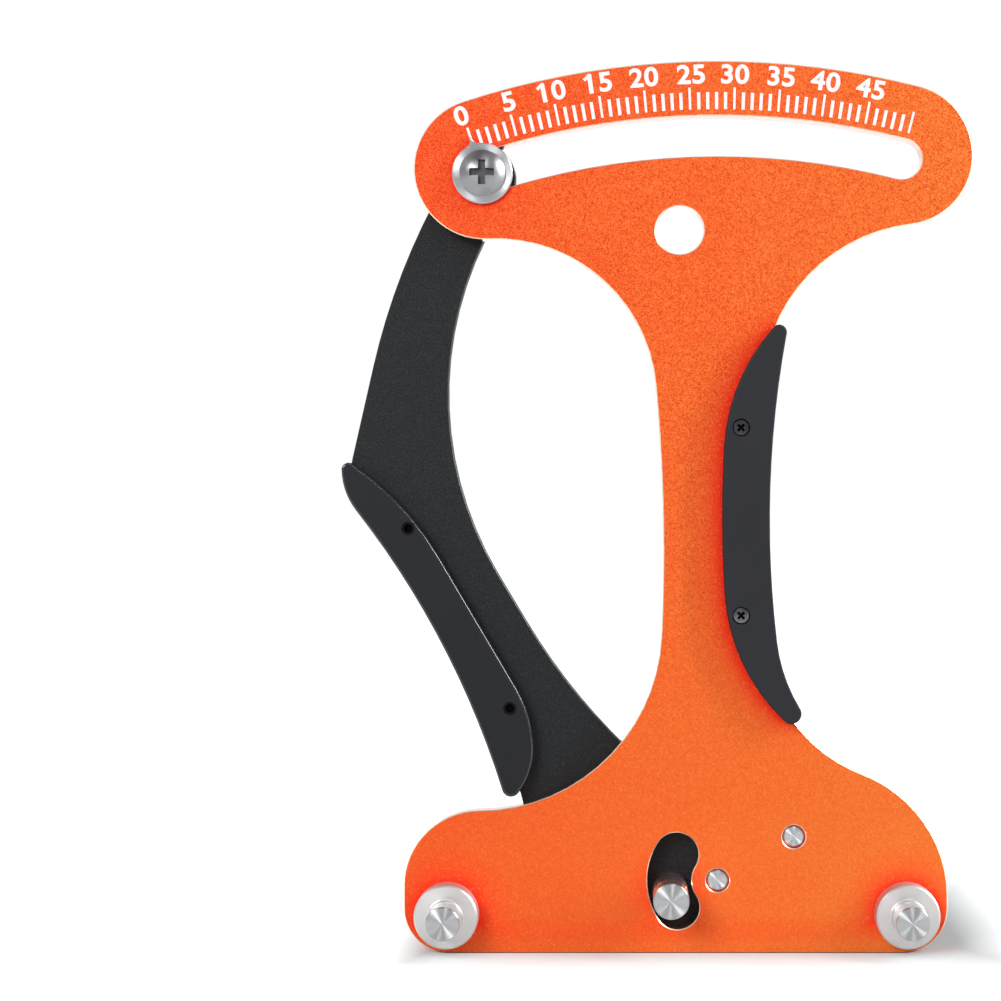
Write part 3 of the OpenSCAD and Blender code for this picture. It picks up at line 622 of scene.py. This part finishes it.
@dataclass(frozen=True)
class Recess:
    """The driver recesses in the heads of a node's screws.

    Attributes:
        at: Middles of the recesses, as (x, z).
        top: Level of the top of the heads.
        reach: Length of an arm of the cross.
        skin: How far the head's face falls away within that reach.
        depth: How deep the recess goes below the top of the head.
        tilt: How far the walls of a recess look forward at most.
        lip: How far under the top they start.
    """

    at: Sequence[Point]
    top: float
    reach: float
    skin: float
    depth: float
    tilt: float = 0.6
    lip: float = 0.1

    def holds(self, face: Face) -> bool:
        """Says whether a face of the screws lies in a recess."""
        middle = face.calc_center_median()
        near = min(math.hypot(middle.x - x, middle.z - z) for x, z in self.at) < self.reach
        wall = face.normal.y > -self.tilt and middle.y > self.top + self.lip
        return near and middle.y < self.top + self.depth and (wall or middle.y > self.top + self.skin)


@dataclass(frozen=True)
class Dressing:
    """How a CAD node is carried over.

    Attributes:
        node: The node's name.
        finishes: The finish of each material slot.
        rims: The rims to break.
        edge_slot: Material slot of the broken rims.
        about: The node whose middle is the axis of a turned finish.
        sort: Gives the material slot of a face.
    """

    node: str
    finishes: Sequence[Finish]
    rims: Sequence[Rim] = ()
    edge_slot: int = 0
    about: str = ""
    sort: Callable[[Face], int] | None = None


class MeshShop:
    """Makes bmeshes in millimetres and turns them into pieces of the scene."""

    def __init__(self, nodes: dict[str, bpy.types.Object]) -> None:
        """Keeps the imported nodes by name."""
        self.nodes = nodes

    def middle(self, node: str) -> Point:
        """Gives the middle of a CAD node's box as (x, z) in millimetres."""
        low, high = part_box(node)
        return ((low.x + high.x) / 2 / MM, (low.z + high.z) / 2 / MM)

    def copy(self, node: str) -> Mesh:
        """Copies a CAD node and merges its loose triangles.

        Args:
            node: The node's name.

        Returns:
            The copy, in millimetres.
        """
        mesh = bmesh.new()
        mesh.from_mesh(self.nodes[node].data)
        bmesh.ops.scale(mesh, vec=(1 / MM, 1 / MM, 1 / MM), verts=mesh.verts)
        bmesh.ops.remove_doubles(mesh, verts=mesh.verts, dist=CAD_MERGE)
        bmesh.ops.dissolve_degenerate(mesh, dist=SLIVER, edges=mesh.edges)
        return mesh

    def turned(self, at: Point, profile: Iterable[Point]) -> Mesh:
        """Turns a profile about the Y axis through a point.

        Args:
            at: Where the axis stands, as (x, z).
            profile: (radius, y) points from one end of the piece to the other.

        Returns:
            The turned piece.
        """
        mesh = bmesh.new()
        verts = [mesh.verts.new((at[0] + radius, y, at[1])) for radius, y in profile]
        edges = [mesh.edges.new(pair) for pair in zip(verts, verts[1:])]
        bmesh.ops.spin(mesh, geom=verts + edges, cent=(at[0], 0, at[1]), axis=(0, 1, 0),
                       angle=2 * math.pi, steps=ROUND, use_merge=True)
        bmesh.ops.remove_doubles(mesh, verts=mesh.verts, dist=MERGE)
        bmesh.ops.recalc_face_normals(mesh, faces=mesh.faces)
        return mesh

    @staticmethod
    def border(faces: Sequence[Face]) -> list[Edge]:
        """Gives the edges between a region of faces and the rest."""
        region = set(faces)
        return list({e for f in faces for e in f.edges if sum(g in region for g in e.link_faces) == 1})

    @staticmethod
    def outer_loop(edges: Sequence[Edge]) -> list[Edge]:
        """Gives the loop of edges round the outside of all the others.

        Args:
            edges: Edges that form closed loops.

        Returns:
            The edges of the loop that holds the leftmost point.
        """
        pool = set(edges)
        start = min((v for e in edges for v in e.verts), key=lambda v: v.co.x)
        loop, front = set(), [start]
        while front:
            fresh = [e for e in front.pop().link_edges if e in pool and e not in loop]
            loop.update(fresh)
            front.extend(v for e in fresh for v in e.verts)
        return list(loop)

    @staticmethod
    def refill(mesh: Mesh, faces: Sequence[Face], edges: Sequence[Edge], facing: Vector) -> list[Face]:
        """Takes flat faces out and fills the loops of edges afresh.

        Args:
            mesh: The mesh.
            faces: Faces to take out.
            edges: Loops that bound the new faces.
            facing: Direction that the new faces look in.

        Returns:
            The new faces.
        """
        bmesh.ops.delete(mesh, geom=list(faces), context="FACES")
        made = bmesh.ops.triangle_fill(mesh, edges=list(edges), use_beauty=True, normal=facing)["geom"]
        mesh.normal_update()
        return [g for g in made if isinstance(g, Face)]

    def break_rim(self, mesh: Mesh, rim: Rim, edge_slot: int = 0) -> None:
        """Breaks the rim of the face that lies furthest in one direction.

        Args:
            mesh: A merged solid.
            rim: How the rim is broken.
            edge_slot: Material slot of the broken edge.
        """
        level = max(v.co.dot(rim.facing) for v in mesh.verts) - LEVEL
        inner = [f for f in mesh.faces if all(v.co.dot(rim.facing) > level for v in f.verts)]
        plain = []
        if not rim.holes:
            around = self.border(inner)
            outer = self.outer_loop(around)
            plain = list(set(around) - set(outer))
            inner = self.refill(mesh, inner, outer, rim.facing)
        rings = rim.rings()
        if rim.steps > 1:
            rings.append((1.0 + BAND / rim.size, 0.0))
        for (way, depth), (next_way, _) in zip(rings, rings[1:]):
            made = bmesh.ops.inset_region(mesh, faces=inner, thickness=(next_way - way) * rim.size,
                                          use_boundary=True, use_even_offset=True)["faces"]
            for face in made:
                face.material_index = edge_slot
            for vert in {v for f in made for v in f.verts} - {v for f in inner for v in f.verts}:
                vert.co -= rim.facing * (depth * rim.size)
        self.refill(mesh, inner, self.border(inner) + plain, rim.facing)

    def piece(self, name: str, mesh: Mesh, body: Body, finishes: Sequence[Finish], stands_for: str = "",
              about: Point | None = None) -> bpy.types.Object:
        """Turns a bmesh into a piece that rides on a body.

        Args:
            name: The piece's name.
            mesh: The bmesh in millimetres, which is freed.
            body: The body that the piece rides on.
            finishes: The finish of each material slot.
            stands_for: The CAD node that the piece replaces.
            about: Axis of a turned finish, as (x, z).

        Returns:
            The piece.
        """
        bmesh.ops.scale(mesh, vec=(MM, MM, MM), verts=mesh.verts)
        data = bpy.data.meshes.new(name)
        mesh.to_mesh(data)
        mesh.free()
        if "custom_normal" in data.attributes:
            data.attributes.remove(data.attributes["custom_normal"])
        axis = Vector((about[0] * MM, 0, about[1] * MM)) if about else None
        for finish in finishes:
            data.materials.append(finish.material(axis, f"_{name}" if about else ""))
        data.polygons.foreach_set("use_smooth", [True] * len(data.polygons))
        data.set_sharp_from_angle(angle=SHARP)
        made = placed(name, data)
        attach(made, body.value)
        if stands_for:
            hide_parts(stands_for)
        LOG.info("%s: %d faces on %s", name, len(data.polygons), body.value)
        return made

    def dress(self, body: Body, dressing: Dressing) -> None:
        """Replaces a CAD node by a dressed copy.

        Args:
            body: The body that the node rides on.
            dressing: How it is carried over.
        """
        mesh = self.copy(dressing.node)
        mesh.normal_update()
        if dressing.sort is not None:
            for face in mesh.faces:
                face.material_index = int(dressing.sort(face))
        for rim in dressing.rims:
            self.break_rim(mesh, rim, dressing.edge_slot)
        about = self.middle(dressing.about) if dressing.about else None
        self.piece(f"{dressing.node}_piece", mesh, body, dressing.finishes, dressing.node, about)


# ---------------- sub-assemblies


class SubAssembly:
    """A group of pieces that the maker would put together on one bench."""

    def build(self, shop: MeshShop) -> None:
        """Builds and dresses the pieces in a shop."""
        raise NotImplementedError


@dataclass
class Bench(SubAssembly):
    """A sub-assembly of one body whose pieces are all carried over from the frame."""

    body: Body
    dressings: Sequence[Dressing]

    def build(self, shop: MeshShop) -> None:
        """Dresses every piece. See SubAssembly.build."""
        for dressing in self.dressings:
            shop.dress(self.body, dressing)


@dataclass
class DialNumbers(SubAssembly):
    """The numbers over the long strokes of the scale.

    Attributes:
        pivot: Middle of the dial's arc, as (x, z).
        step: What each number adds to the one before it.
        first_angle: Angle of the first number.
        step_angle: Angle from one number to the next.
        radius: Radius of the numbers' feet.
        height: Height of the numerals.
        widen: How much wider than the font they are.
        aside: How far along the arc each number is off its stroke.
        face_y: Level of the plate's face.
        ink: Thickness of the print.
        swell: How much each side of a stroke is thickened.
        font_size: Size at which the font is drawn.
        spacing: How far apart two numerals stand, as a share of the font's spacing.
        flag: Length, thickness and slant in degrees of the flag of a 1.
        flag_under: How far its root lies under the numeral's head.
        flag_shift: How far its middle is from its root, along and across it.
        flag_ink: Its thickness as print, as a share of the numerals'.
    """

    pivot: Point = (9.3, 16.5)
    step: int = 5
    first_angle: float = 108.4
    step_angle: float = 3.2725
    radius: float = 180.68
    height: float = 4.5
    widen: float = 1.08
    aside: tuple[float, ...] = (-0.45, 0.27, -0.2, 0.05, 0.17, 0.45, 0.05, 0.1, -0.27, -0.34)
    face_y: float = -2.5
    ink: float = 0.06
    swell: float = 0.17
    font_size: float = 6.0
    spacing: float = 1.06
    flag: Place = (1.75, 0.72, 36.0)
    flag_under: float = 0.52
    flag_shift: Place = (-0.18, -0.1, 0.0)
    flag_ink: float = 0.9

    def numeral(self, text: str) -> Mesh:
        """Makes one number upright on the X axis, centred, in millimetres.

        Args:
            text: The number.

        Returns:
            Its closed mesh, which looks along -Y.
        """
        curve = bpy.data.curves.new(f"numeral_{text}", "FONT")
        curve.body = text
        curve.size = self.font_size
        curve.offset = self.swell
        curve.extrude = self.ink / 2
        curve.space_character = self.spacing
        holder = placed(curve.name, curve)
        bpy.context.view_layer.update()
        drawn = holder.evaluated_get(bpy.context.evaluated_depsgraph_get())
        baked = bpy.data.meshes.new_from_object(drawn)
        mesh = bmesh.new()
        mesh.from_mesh(baked)
        bpy.data.objects.remove(holder)
        bpy.data.curves.remove(curve)
        bpy.data.meshes.remove(baked)
        bmesh.ops.remove_doubles(mesh, verts=mesh.verts, dist=PRINT_MERGE)
        left, foot = min(v.co.x for v in mesh.verts), min(v.co.y for v in mesh.verts)
        head = max(v.co.y for v in mesh.verts)
        if text.startswith("1"):
            length, thick, slant = self.flag
            root = Matrix.Translation((left, head - self.flag_under, 0))
            lie = root @ Matrix.Rotation(math.radians(slant), 4, "Z") @ Matrix.Translation(self.flag_shift)
            size = Matrix.Diagonal((length, thick, self.ink * self.flag_ink, 1))
            bmesh.ops.create_cube(mesh, size=1.0, matrix=lie @ size)
        left, right = min(v.co.x for v in mesh.verts), max(v.co.x for v in mesh.verts)
        bmesh.ops.translate(mesh, vec=(-(left + right) / 2, -foot, 0), verts=mesh.verts)
        grow = self.height / (head - foot)
        bmesh.ops.scale(mesh, vec=(grow * self.widen, grow, 1), verts=mesh.verts)
        bmesh.ops.rotate(mesh, matrix=Matrix.Rotation(math.pi / 2, 3, "X"), verts=mesh.verts)
        return mesh

    def build(self, shop: MeshShop) -> None:
        """Prints every number on the plate. See SubAssembly.build."""
        for place, aside in enumerate(self.aside):
            angle = self.first_angle - place * self.step_angle - math.degrees(aside / self.radius)
            number, lean = self.step * place, Matrix.Rotation(math.radians(90 - angle), 3, "Y")
            mesh = self.numeral(str(number))
            bmesh.ops.translate(mesh, vec=(0, self.face_y - self.ink / 2, self.radius), verts=mesh.verts)
            bmesh.ops.rotate(mesh, matrix=lean, verts=mesh.verts)
            bmesh.ops.translate(mesh, vec=(self.pivot[0], 0, self.pivot[1]), verts=mesh.verts)
            shop.piece(f"number_{number:02d}", mesh, Body.PLATE, (Shelf.INK,))


@dataclass
class BodyPlate(SubAssembly):
    """The orange plate with its printed scale.

    Attributes:
        edge: Width of the cut edge.
        numbers: The numbers on the dial.
    """

    edge: float = 0.22
    numbers: DialNumbers = field(default_factory=DialNumbers)

    def build(self, shop: MeshShop) -> None:
        """Builds the plate and its print. See SubAssembly.build."""
        finishes = (Shelf.ORANGE, Shelf.ORANGE_EDGE, Shelf.ORANGE_WALL)
        rims = (Rim(FRONT, self.edge), Rim(BACK, self.edge))
        shop.dress(Body.PLATE, Dressing("body_plate", finishes, rims, 1,
                                        sort=lambda face: 2 if abs(face.normal.y) < WALL else 0))
        marks = shop.nodes["scale_marks"]
        marks.data.materials.clear()
        marks.data.materials.append(Shelf.INK.material())
        self.numbers.build(shop)


@dataclass
class Posts(SubAssembly):
    """The two riveted posts that a spoke lies on, and the post that bends it.

    Attributes:
        tip_y: Level of the posts' ends.
        face_y: Level of the flanges' faces.
        plate_y: Level of the plate's faces, front and back.
        arm_y: Level of the lever arm's faces.
        fixed_r: Radius of a fixed post.
        moving_r: Radius of the moving post.
        flange_r: Radius of a flange.
        shank_r: Radius of the riveted shanks.
        cone: How much the faced ends fall from middle to rim.
        end_edge: Broken edge of the faced ends.
        end_zone: How far behind a post's end its faces belong to the faced end.
        flange_edge: Broken edge of a flange.
        shank_edge: Broken edge of a shank.
        collar: Width of the collar at a fixed post's root.
        collar_rise: Height of the collar, and of the waist of its hollow.
        waist: How much the hollow's waist stands out from the barrel.
        flat: How much a flange's face falls towards its rim.
        finishes: Finish of the flange, of the faced end and of the barrel.
    """

    tip_y: float = -16.5
    face_y: float = -7.9
    plate_y: Point = (-2.5, 2.5)
    arm_y: Point = (3.3, 7.3)
    fixed_r: float = 3.8
    moving_r: float = 4.0
    flange_r: float = 7.2
    shank_r: float = 2.5
    cone: float = 0.16
    end_edge: float = 0.22
    end_zone: float = 0.5
    flange_edge: float = 0.35
    shank_edge: float = 0.15
    collar: float = 0.45
    collar_rise: Point = (0.16, 0.26)
    waist: float = 0.12
    flat: float = 0.02
    finishes: tuple[Finish, ...] = (Shelf.SATIN, Shelf.ALUMINIUM, Shelf.BARREL)

    def post(self, shop: MeshShop, node: str, body: Body, radius: float, foot: Sequence[Point]) -> None:
        """Turns a post and puts it in place of its node.

        Args:
            shop: The shop that makes the pieces.
            node: The node.
            body: The body that it rides on.
            radius: Radius of its barrel.
            foot: Its (radius, y) profile behind the barrel.
        """
        at = shop.middle(node)
        end = [(0.0, self.tip_y), (radius - self.end_edge, self.tip_y + self.cone),
               (radius, self.tip_y + self.cone + self.end_edge)]
        mesh = shop.turned(at, end + list(foot))
        for face in mesh.faces:
            middle = face.calc_center_median()
            out = math.hypot(middle.x - at[0], middle.z - at[1])
            if middle.y < self.tip_y + self.end_zone:
                face.material_index = 1
            elif abs(face.normal.y) < WALL and out < radius:
                face.material_index = 2
        shop.piece(f"{node}_piece", mesh, body, self.finishes, node, at)

    def shank(self, near: float, far: float) -> list[Point]:
        """Gives the profile of a riveted shank from its shoulder to its end."""
        return [(self.shank_r, near), (self.shank_r, far - self.shank_edge),
                (self.shank_r - self.shank_edge, far), (0.0, far)]

    def build(self, shop: MeshShop) -> None:
        """Turns the three posts. See SubAssembly.build."""
        root, (low, high) = self.fixed_r + self.collar, self.collar_rise
        flange = [
            (self.fixed_r, self.face_y - self.collar), (self.fixed_r + self.waist, self.face_y - high),
            (root, self.face_y - low), (root, self.face_y),
            (self.flange_r - self.flange_edge, self.face_y + self.flat),
            (self.flange_r, self.face_y + self.flange_edge), (self.flange_r, self.plate_y[0])]
        for node in ("left_post", "right_post"):
            self.post(shop, node, Body.PLATE, self.fixed_r, flange + self.shank(*self.plate_y))
        shoulder = [(self.moving_r, self.arm_y[0])]
        self.post(shop, "moving_post", Body.LEVER, self.moving_r, shoulder + self.shank(*self.arm_y))


MOULDED_FRONT = (Rim(FRONT, 0.45, 4, holes=False),)
MOULDED_BACK = (Rim(BACK, 0.45, 4, holes=False),)
RING_RIMS = (Rim(BACK, 0.12), Rim(FRONT, 0.12))
ARM_RIMS = (Rim(FRONT, 0.13), Rim(BACK, 0.13))
# Painted shade: the faces in the body grip screws' cross recesses take the near black recess finish.
BODY_SCREWS = Recess(((14.5, 119.1), (14.5, 76.7)), -5.4, 1.25, 0.3, 0.9)
# Painted shade: the faces in the pointer screw's cross recess take the dark recess finish.
POINTER_SCREW = Recess(((-44.0131, 176.765),), -6.4, 2.72, 0.5, 1.7)
# Painted shade: in front of this level the lever grip's screws take the near black recess finish, as the
# shade down in the grip's holes.
SCREW_HEAD_Y = 4.0               # what the lever grip's screws have before this level is dark

# The pivot pin and the spring's anchor pin, with their washer and snap rings
PINS = Bench(Body.PLATE, (
    Dressing("pivot_pin", (Shelf.STEEL,), about="pivot_pin"),
    Dressing("anchor_pin", (Shelf.STEEL,), about="anchor_pin"),
    Dressing("pivot_washer", (Shelf.NYLON,)),
    Dressing("pivot_clip", (Shelf.RING,), RING_RIMS),
    Dressing("anchor_clip", (Shelf.RING,), RING_RIMS)))

# The two-part grip on the waist with its screws and threaded inserts
BODY_GRIP = Bench(Body.PLATE, (
    Dressing("body_grip_front", (Shelf.BODY_GRIP,), MOULDED_FRONT),
    Dressing("body_grip_back", (Shelf.BODY_GRIP,), MOULDED_BACK),
    Dressing("body_grip_screws", (Shelf.BLACK_SCREW, Shelf.BLACK_RECESS), sort=BODY_SCREWS.holds),
    Dressing("body_grip_inserts", (Shelf.BRASS,))))

# The black arm behind the plate, and the grip on it
LEVER = Bench(Body.LEVER, (
    Dressing("lever_arm", (Shelf.BLACK, Shelf.BLACK_EDGE), ARM_RIMS, 1),
    Dressing("lever_grip_front", (Shelf.LEVER_GRIP, Shelf.GRIP_RIM), MOULDED_FRONT, 1),
    Dressing("lever_grip_back", (Shelf.LEVER_GRIP, Shelf.GRIP_RIM), MOULDED_BACK, 1),
    Dressing("lever_grip_screws", (Shelf.BLACK_SCREW, Shelf.BLACK_RECESS),
             sort=lambda face: face.calc_center_median().y < SCREW_HEAD_Y),
    Dressing("lever_grip_inserts", (Shelf.BLACK_INSERT,))))

# The pointer washer, its screw, the bush in the dial slot and the nut behind the arm
POINTER = Bench(Body.LEVER, (
    Dressing("pointer_washer", (Shelf.STEEL,), (Rim(FRONT, 0.25),), about="pointer_screw"),
    Dressing("pointer_screw", (Shelf.BRIGHT, Shelf.DARK_RECESS), sort=POINTER_SCREW.holds),
    Dressing("slot_bush", (Shelf.NYLON,)),
    Dressing("pointer_lock_washer", (Shelf.ZINC,), (Rim(BACK, 0.12),)),
    Dressing("pointer_nut", (Shelf.ZINC,), (Rim(BACK, 0.35),))))


@dataclass
class ReturnSpring(SubAssembly):
    """The sprung rod behind the lever, which pulls it back to zero.

    Attributes:
        anchor: Where the rod's axis meets the anchor pin, as (x, y, z).
        along: Direction of the rod.
        coil_from: Start of the coil along the rod.
        coil_to: End of the coil along the rod.
        coil_r: Radius of the coil's middle line.
        wire_r: Radius of the wire.
        turns: Turns of the coil.
        closed: Turns that lie closed at each end.
        closed_rise: Rise of such a turn, as a share of the wire's thickness.
        pressed: Share of the coil's length that is left when the lever is squeezed; not used.
        facets: Facets to a turn.
        wire_facets: Facets round the wire.
        nut_edge: Broken edge of the nuts.
    """

    anchor: Place = (26.6, 12.3, 26.4)
    along: Vector = field(default_factory=lambda: Vector((-31.3, 0.0, 6.1)).normalized())
    coil_from: float = 12.05
    coil_to: float = 27.34
    coil_r: float = 3.5
    wire_r: float = 0.5
    turns: float = 5.5
    closed: float = 0.75
    closed_rise: float = 1.05
    pressed: float = 0.44
    facets: int = 32
    wire_facets: int = 16
    nut_edge: float = 0.25

    def coil(self) -> Mesh:
        """Winds the coil with closed ends.

        Returns:
            The closed coil along the rod.
        """
        mesh = bmesh.new()
        ring = bmesh.ops.create_circle(mesh, radius=self.wire_r, segments=self.wire_facets)["verts"]
        bmesh.ops.transform(mesh, matrix=Matrix.Rotation(math.pi / 2, 4, "X"), verts=ring)
        bmesh.ops.translate(mesh, vec=(self.coil_r, 0, self.coil_from + self.wire_r), verts=ring)
        length = self.coil_to - self.coil_from - 2 * self.wire_r
        end = (self.closed, self.closed * self.closed_rise * 2 * self.wire_r)
        first = list(mesh.edges)
        last = list(mesh.verts) + first
        for turns, rise in (end, (self.turns - 2 * end[0], length - 2 * end[1]), end):
            steps = round(turns * self.facets)
            last = bmesh.ops.spin(mesh, geom=last, cent=(0, 0, 0), axis=(0, 0, 1), steps=steps,
                                  angle=2 * math.pi * turns, dvec=(0, 0, rise / steps))["geom_last"]
        bmesh.ops.contextual_create(mesh, geom=first)
        bmesh.ops.contextual_create(mesh, geom=[e for e in last if isinstance(e, Edge)])
        bmesh.ops.remove_doubles(mesh, verts=mesh.verts, dist=MERGE)
        bmesh.ops.recalc_face_normals(mesh, faces=mesh.faces)
        place = Matrix.Translation(self.anchor) @ self.along.to_track_quat("Z", "Y").to_matrix().to_4x4()
        bmesh.ops.transform(mesh, matrix=place, verts=mesh.verts)
        return mesh

    def build(self, shop: MeshShop) -> None:
        """Builds the rod's stack, its block and the coil. See SubAssembly.build."""
        rims = (Rim(self.along, self.nut_edge), Rim(-self.along, self.nut_edge))
        for node in ("adjuster_nut", "lock_nut", "end_nut"):
            shop.dress(Body.ROD, Dressing(node, (Shelf.ZINC,), rims))
        for node in ("spring_seat", "spring_rod"):
            shop.dress(Body.ROD, Dressing(node, (Shelf.ZINC,)))
        shop.dress(Body.BLOCK, Dressing("spring_block", (Shelf.ALUMINIUM,)))
        shop.dress(Body.LEVER, Dressing("trunnion_pin", (Shelf.BRIGHT,)))
        coil = shop.piece("return_spring_coil", self.coil(), Body.ROD, (Shelf.SPRING,), "return_spring")
        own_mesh(coil)


# ---------------- studio


@dataclass
class SoftBox:
    """A soft rectangular lamp that looks at the tool.

    Attributes:
        name: The lamp's name.
        place: Where it hangs.
        size: Its width and height.
        power: Its power in watts.
        shines: Whether gloss shows it.
        lights: Whether it lights dull surfaces.
        roll: How far it is turned to the left about the way it looks, in degrees.
    """

    name: str
    place: Place
    size: Point
    power: float
    shines: bool = True
    lights: bool = True
    roll: float = 0.0

    def hang(self) -> None:
        """Hangs the lamp so that it looks at the middle of the tool."""
        lamp = bpy.data.lights.new(self.name, "AREA")
        lamp.shape = "RECTANGLE"
        lamp.size, lamp.size_y = self.size
        lamp.energy = self.power
        holder = placed(self.name, lamp)
        holder.location = self.place
        aim = (MIDDLE - Vector(self.place)).to_track_quat("-Z", "Y")
        holder.rotation_euler = (aim @ Quaternion((0.0, 0.0, 1.0), math.radians(self.roll))).to_euler()
        holder.visible_glossy = self.shines
        holder.visible_diffuse = self.lights


@dataclass
class Studio:
    """The pale floor, the lamps, the white surroundings and the camera.

    Attributes:
        eye: Where the camera stands.
        lens: Its focal length in millimetres.
        shift: Its horizontal and vertical shift.
        boxes: The lamps.
        floor_paint: Colour of the floor, which evens out what the plate throws on it.
        near_glow: White that the floor adds at the tool where a ray sees it.
        far_glow: White that it adds further off.
        fades: How the one turns into the other on each side of the tool: along x (0) or y (1), start,
            end and how far it gets.
        ambient: Strength of the surroundings as light.
        mirror: Least strength of what bright metal sees before the tool.
        rays: Bright panels that metal sees there: angle round the view, strength and sharpness.
        sides: What metal sees at the sides, from above or below the tool to level with it.
        front_turns: Where, from front to back, the front turns into the sides.
        back_turns: Where the sides turn into plain white.
    """

    eye: Place = (-0.00943, -0.5285, 0.1012)
    lens: float = 83.4
    shift: Point = (-0.1344, 0.0065)
    boxes: tuple[SoftBox, ...] = (
        SoftBox("key_box", (-1.2, -2.3, 1.3), (1.1, 1.1), 45.0, shines=False),
        SoftBox("ray_box", (-0.95, -1.38, 0.75), (0.36, 1.1), 17.0, lights=False, roll=58.0),
        SoftBox("thin_ray_box", (0.2, -1.38, 1.24), (0.08, 1.1), 6.0, lights=False, roll=-8.0),
        SoftBox("edge_box", (0.95, -0.15, 0.6), (0.6, 0.35), 17.0, lights=False),
        SoftBox("strip_box", (0.95, -0.4, 0.6), (0.1, 0.9), 6.0))
    floor_paint: Colour = (0.52, 0.565, 0.57)
    near_glow: float = 0.12
    far_glow: float = 1.0
    fades: tuple[tuple[int, float, float, float], ...] = (
        (0, -0.056, -0.068, 1.0), (0, 0.066, 0.086, 1.0), (1, 0.002, -0.03, 0.8), (1, 0.05, 0.13, 1.0))
    ambient: float = 0.4
    mirror: float = 0.13
    rays: tuple[Place, ...] = ((148.0, 0.5, 4.0), (80.0, 0.7, 16.0))
    sides: Point = (0.2, 1.2)
    front_turns: Point = (-0.28, -0.1)
    back_turns: Point = (0.05, 0.3)

    @staticmethod
    def glossed(board: Board) -> Socket:
        """Gives 1 for a ray that a gloss or a glass sends, and 0 for others."""
        path = board.add("LightPath")
        return board.math("MAXIMUM", path.outputs["Is Glossy Ray"], path.outputs["Is Transmission Ray"])

    def build_floor(self) -> None:
        """Lays a plain pale floor that keeps the tool's shadow."""
        mesh = bmesh.new()
        bmesh.ops.create_grid(mesh, x_segments=1, y_segments=1, size=6.0)
        data = bpy.data.meshes.new("floor")
        mesh.to_mesh(data)
        mesh.free()
        material = bpy.data.materials.new("floor_white")
        material.use_nodes = True
        board = Board(material.node_tree)
        paint = board.put("BsdfDiffuse", {"Color": self.floor_paint})
        away = 0.0
        for place, start, end, most in self.fades:
            side = board.part(board.object_point(), place)
            away = board.math("MAXIMUM", board.spread(side, start, end, 0.0, most), away)
        fade = board.spread(away, 0.0, 1.0, self.near_glow, self.far_glow)
        seen = board.math("MAXIMUM", board.add("LightPath").outputs["Is Camera Ray"], self.glossed(board))
        glow = board.put("Emission", {"Strength": board.math("MULTIPLY", seen, fade)})
        both = board.put("AddShader", {0: paint.outputs[0], 1: glow.outputs[0]})
        board.put("OutputMaterial", {"Surface": both.outputs[0]})
        data.materials.append(material)
        placed("floor", data)

    def build_world(self) -> None:
        """Surrounds the tool with white, dimmer behind the camera for gloss."""
        world = bpy.data.worlds.new("white_room")
        world.use_nodes = True
        bpy.context.scene.world = world
        board = Board(world.node_tree)
        way = board.put("SeparateXYZ", {0: board.add("TexCoord").outputs["Generated"]})
        turn = board.math("ARCTAN2", way.outputs["Z"], way.outputs["X"])
        front = self.mirror
        for angle, strength, sharp in self.rays:
            off = board.math("MULTIPLY", board.math("SUBTRACT", turn, math.radians(angle)), 2.0)
            ray = board.math("POWER", board.math("MAXIMUM", board.math("COSINE", off), 0.0), sharp)
            front = board.math("ADD", front, board.math("MULTIPLY", ray, strength))
        across = board.math("ABSOLUTE", board.math("COSINE", turn))
        side = board.spread(across, 0.1, 0.9, *self.sides)
        mirror = board.between(board.spread(way.outputs["Y"], *self.front_turns), front, side)
        mirror = board.between(board.spread(way.outputs["Y"], *self.back_turns), mirror, 1.0)
        light = board.between(self.glossed(board), self.ambient, mirror)
        level = board.between(board.add("LightPath").outputs["Is Camera Ray"], light, 1.0)
        back = board.put("Background", {"Color": (1.0, 1.0, 1.0), "Strength": level})
        board.put("OutputWorld", {"Surface": back.outputs[0]})

    def build_camera(self) -> None:
        """Puts the camera at the portrait's place."""
        camera = bpy.data.cameras.new("portrait")
        camera.lens = self.lens
        camera.sensor_width = 36.0
        camera.shift_x, camera.shift_y = self.shift
        camera.clip_start = 0.01
        holder = placed("portrait", camera)
        holder.location = self.eye
        holder.rotation_euler = (math.pi / 2, 0, 0)
        bpy.context.scene.camera = holder

    def build(self) -> None:
        """Builds the whole studio."""
        self.build_floor()
        self.build_world()
        for box in self.boxes:
            box.hang()
        self.build_camera()
        bpy.context.scene.view_settings.view_transform = "Standard"


def main() -> None:
    """Builds every sub-assembly and the studio."""
    logging.basicConfig(level=logging.INFO, format="%(name)s %(message)s")
    for factory in bpy.context.scene.objects[:]:
        if factory.name in ("Cube", "Light", "Camera"):
            bpy.data.objects.remove(factory)
    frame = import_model()
    shop = MeshShop(frame["nodes"])
    parts: tuple[SubAssembly, ...] = (BodyPlate(), Posts(), PINS, BODY_GRIP, LEVER, POINTER,
                                      ReturnSpring())
    for part in parts:
        part.build(shop)
    Studio().build()


if __name__ == "__main__":
    main()
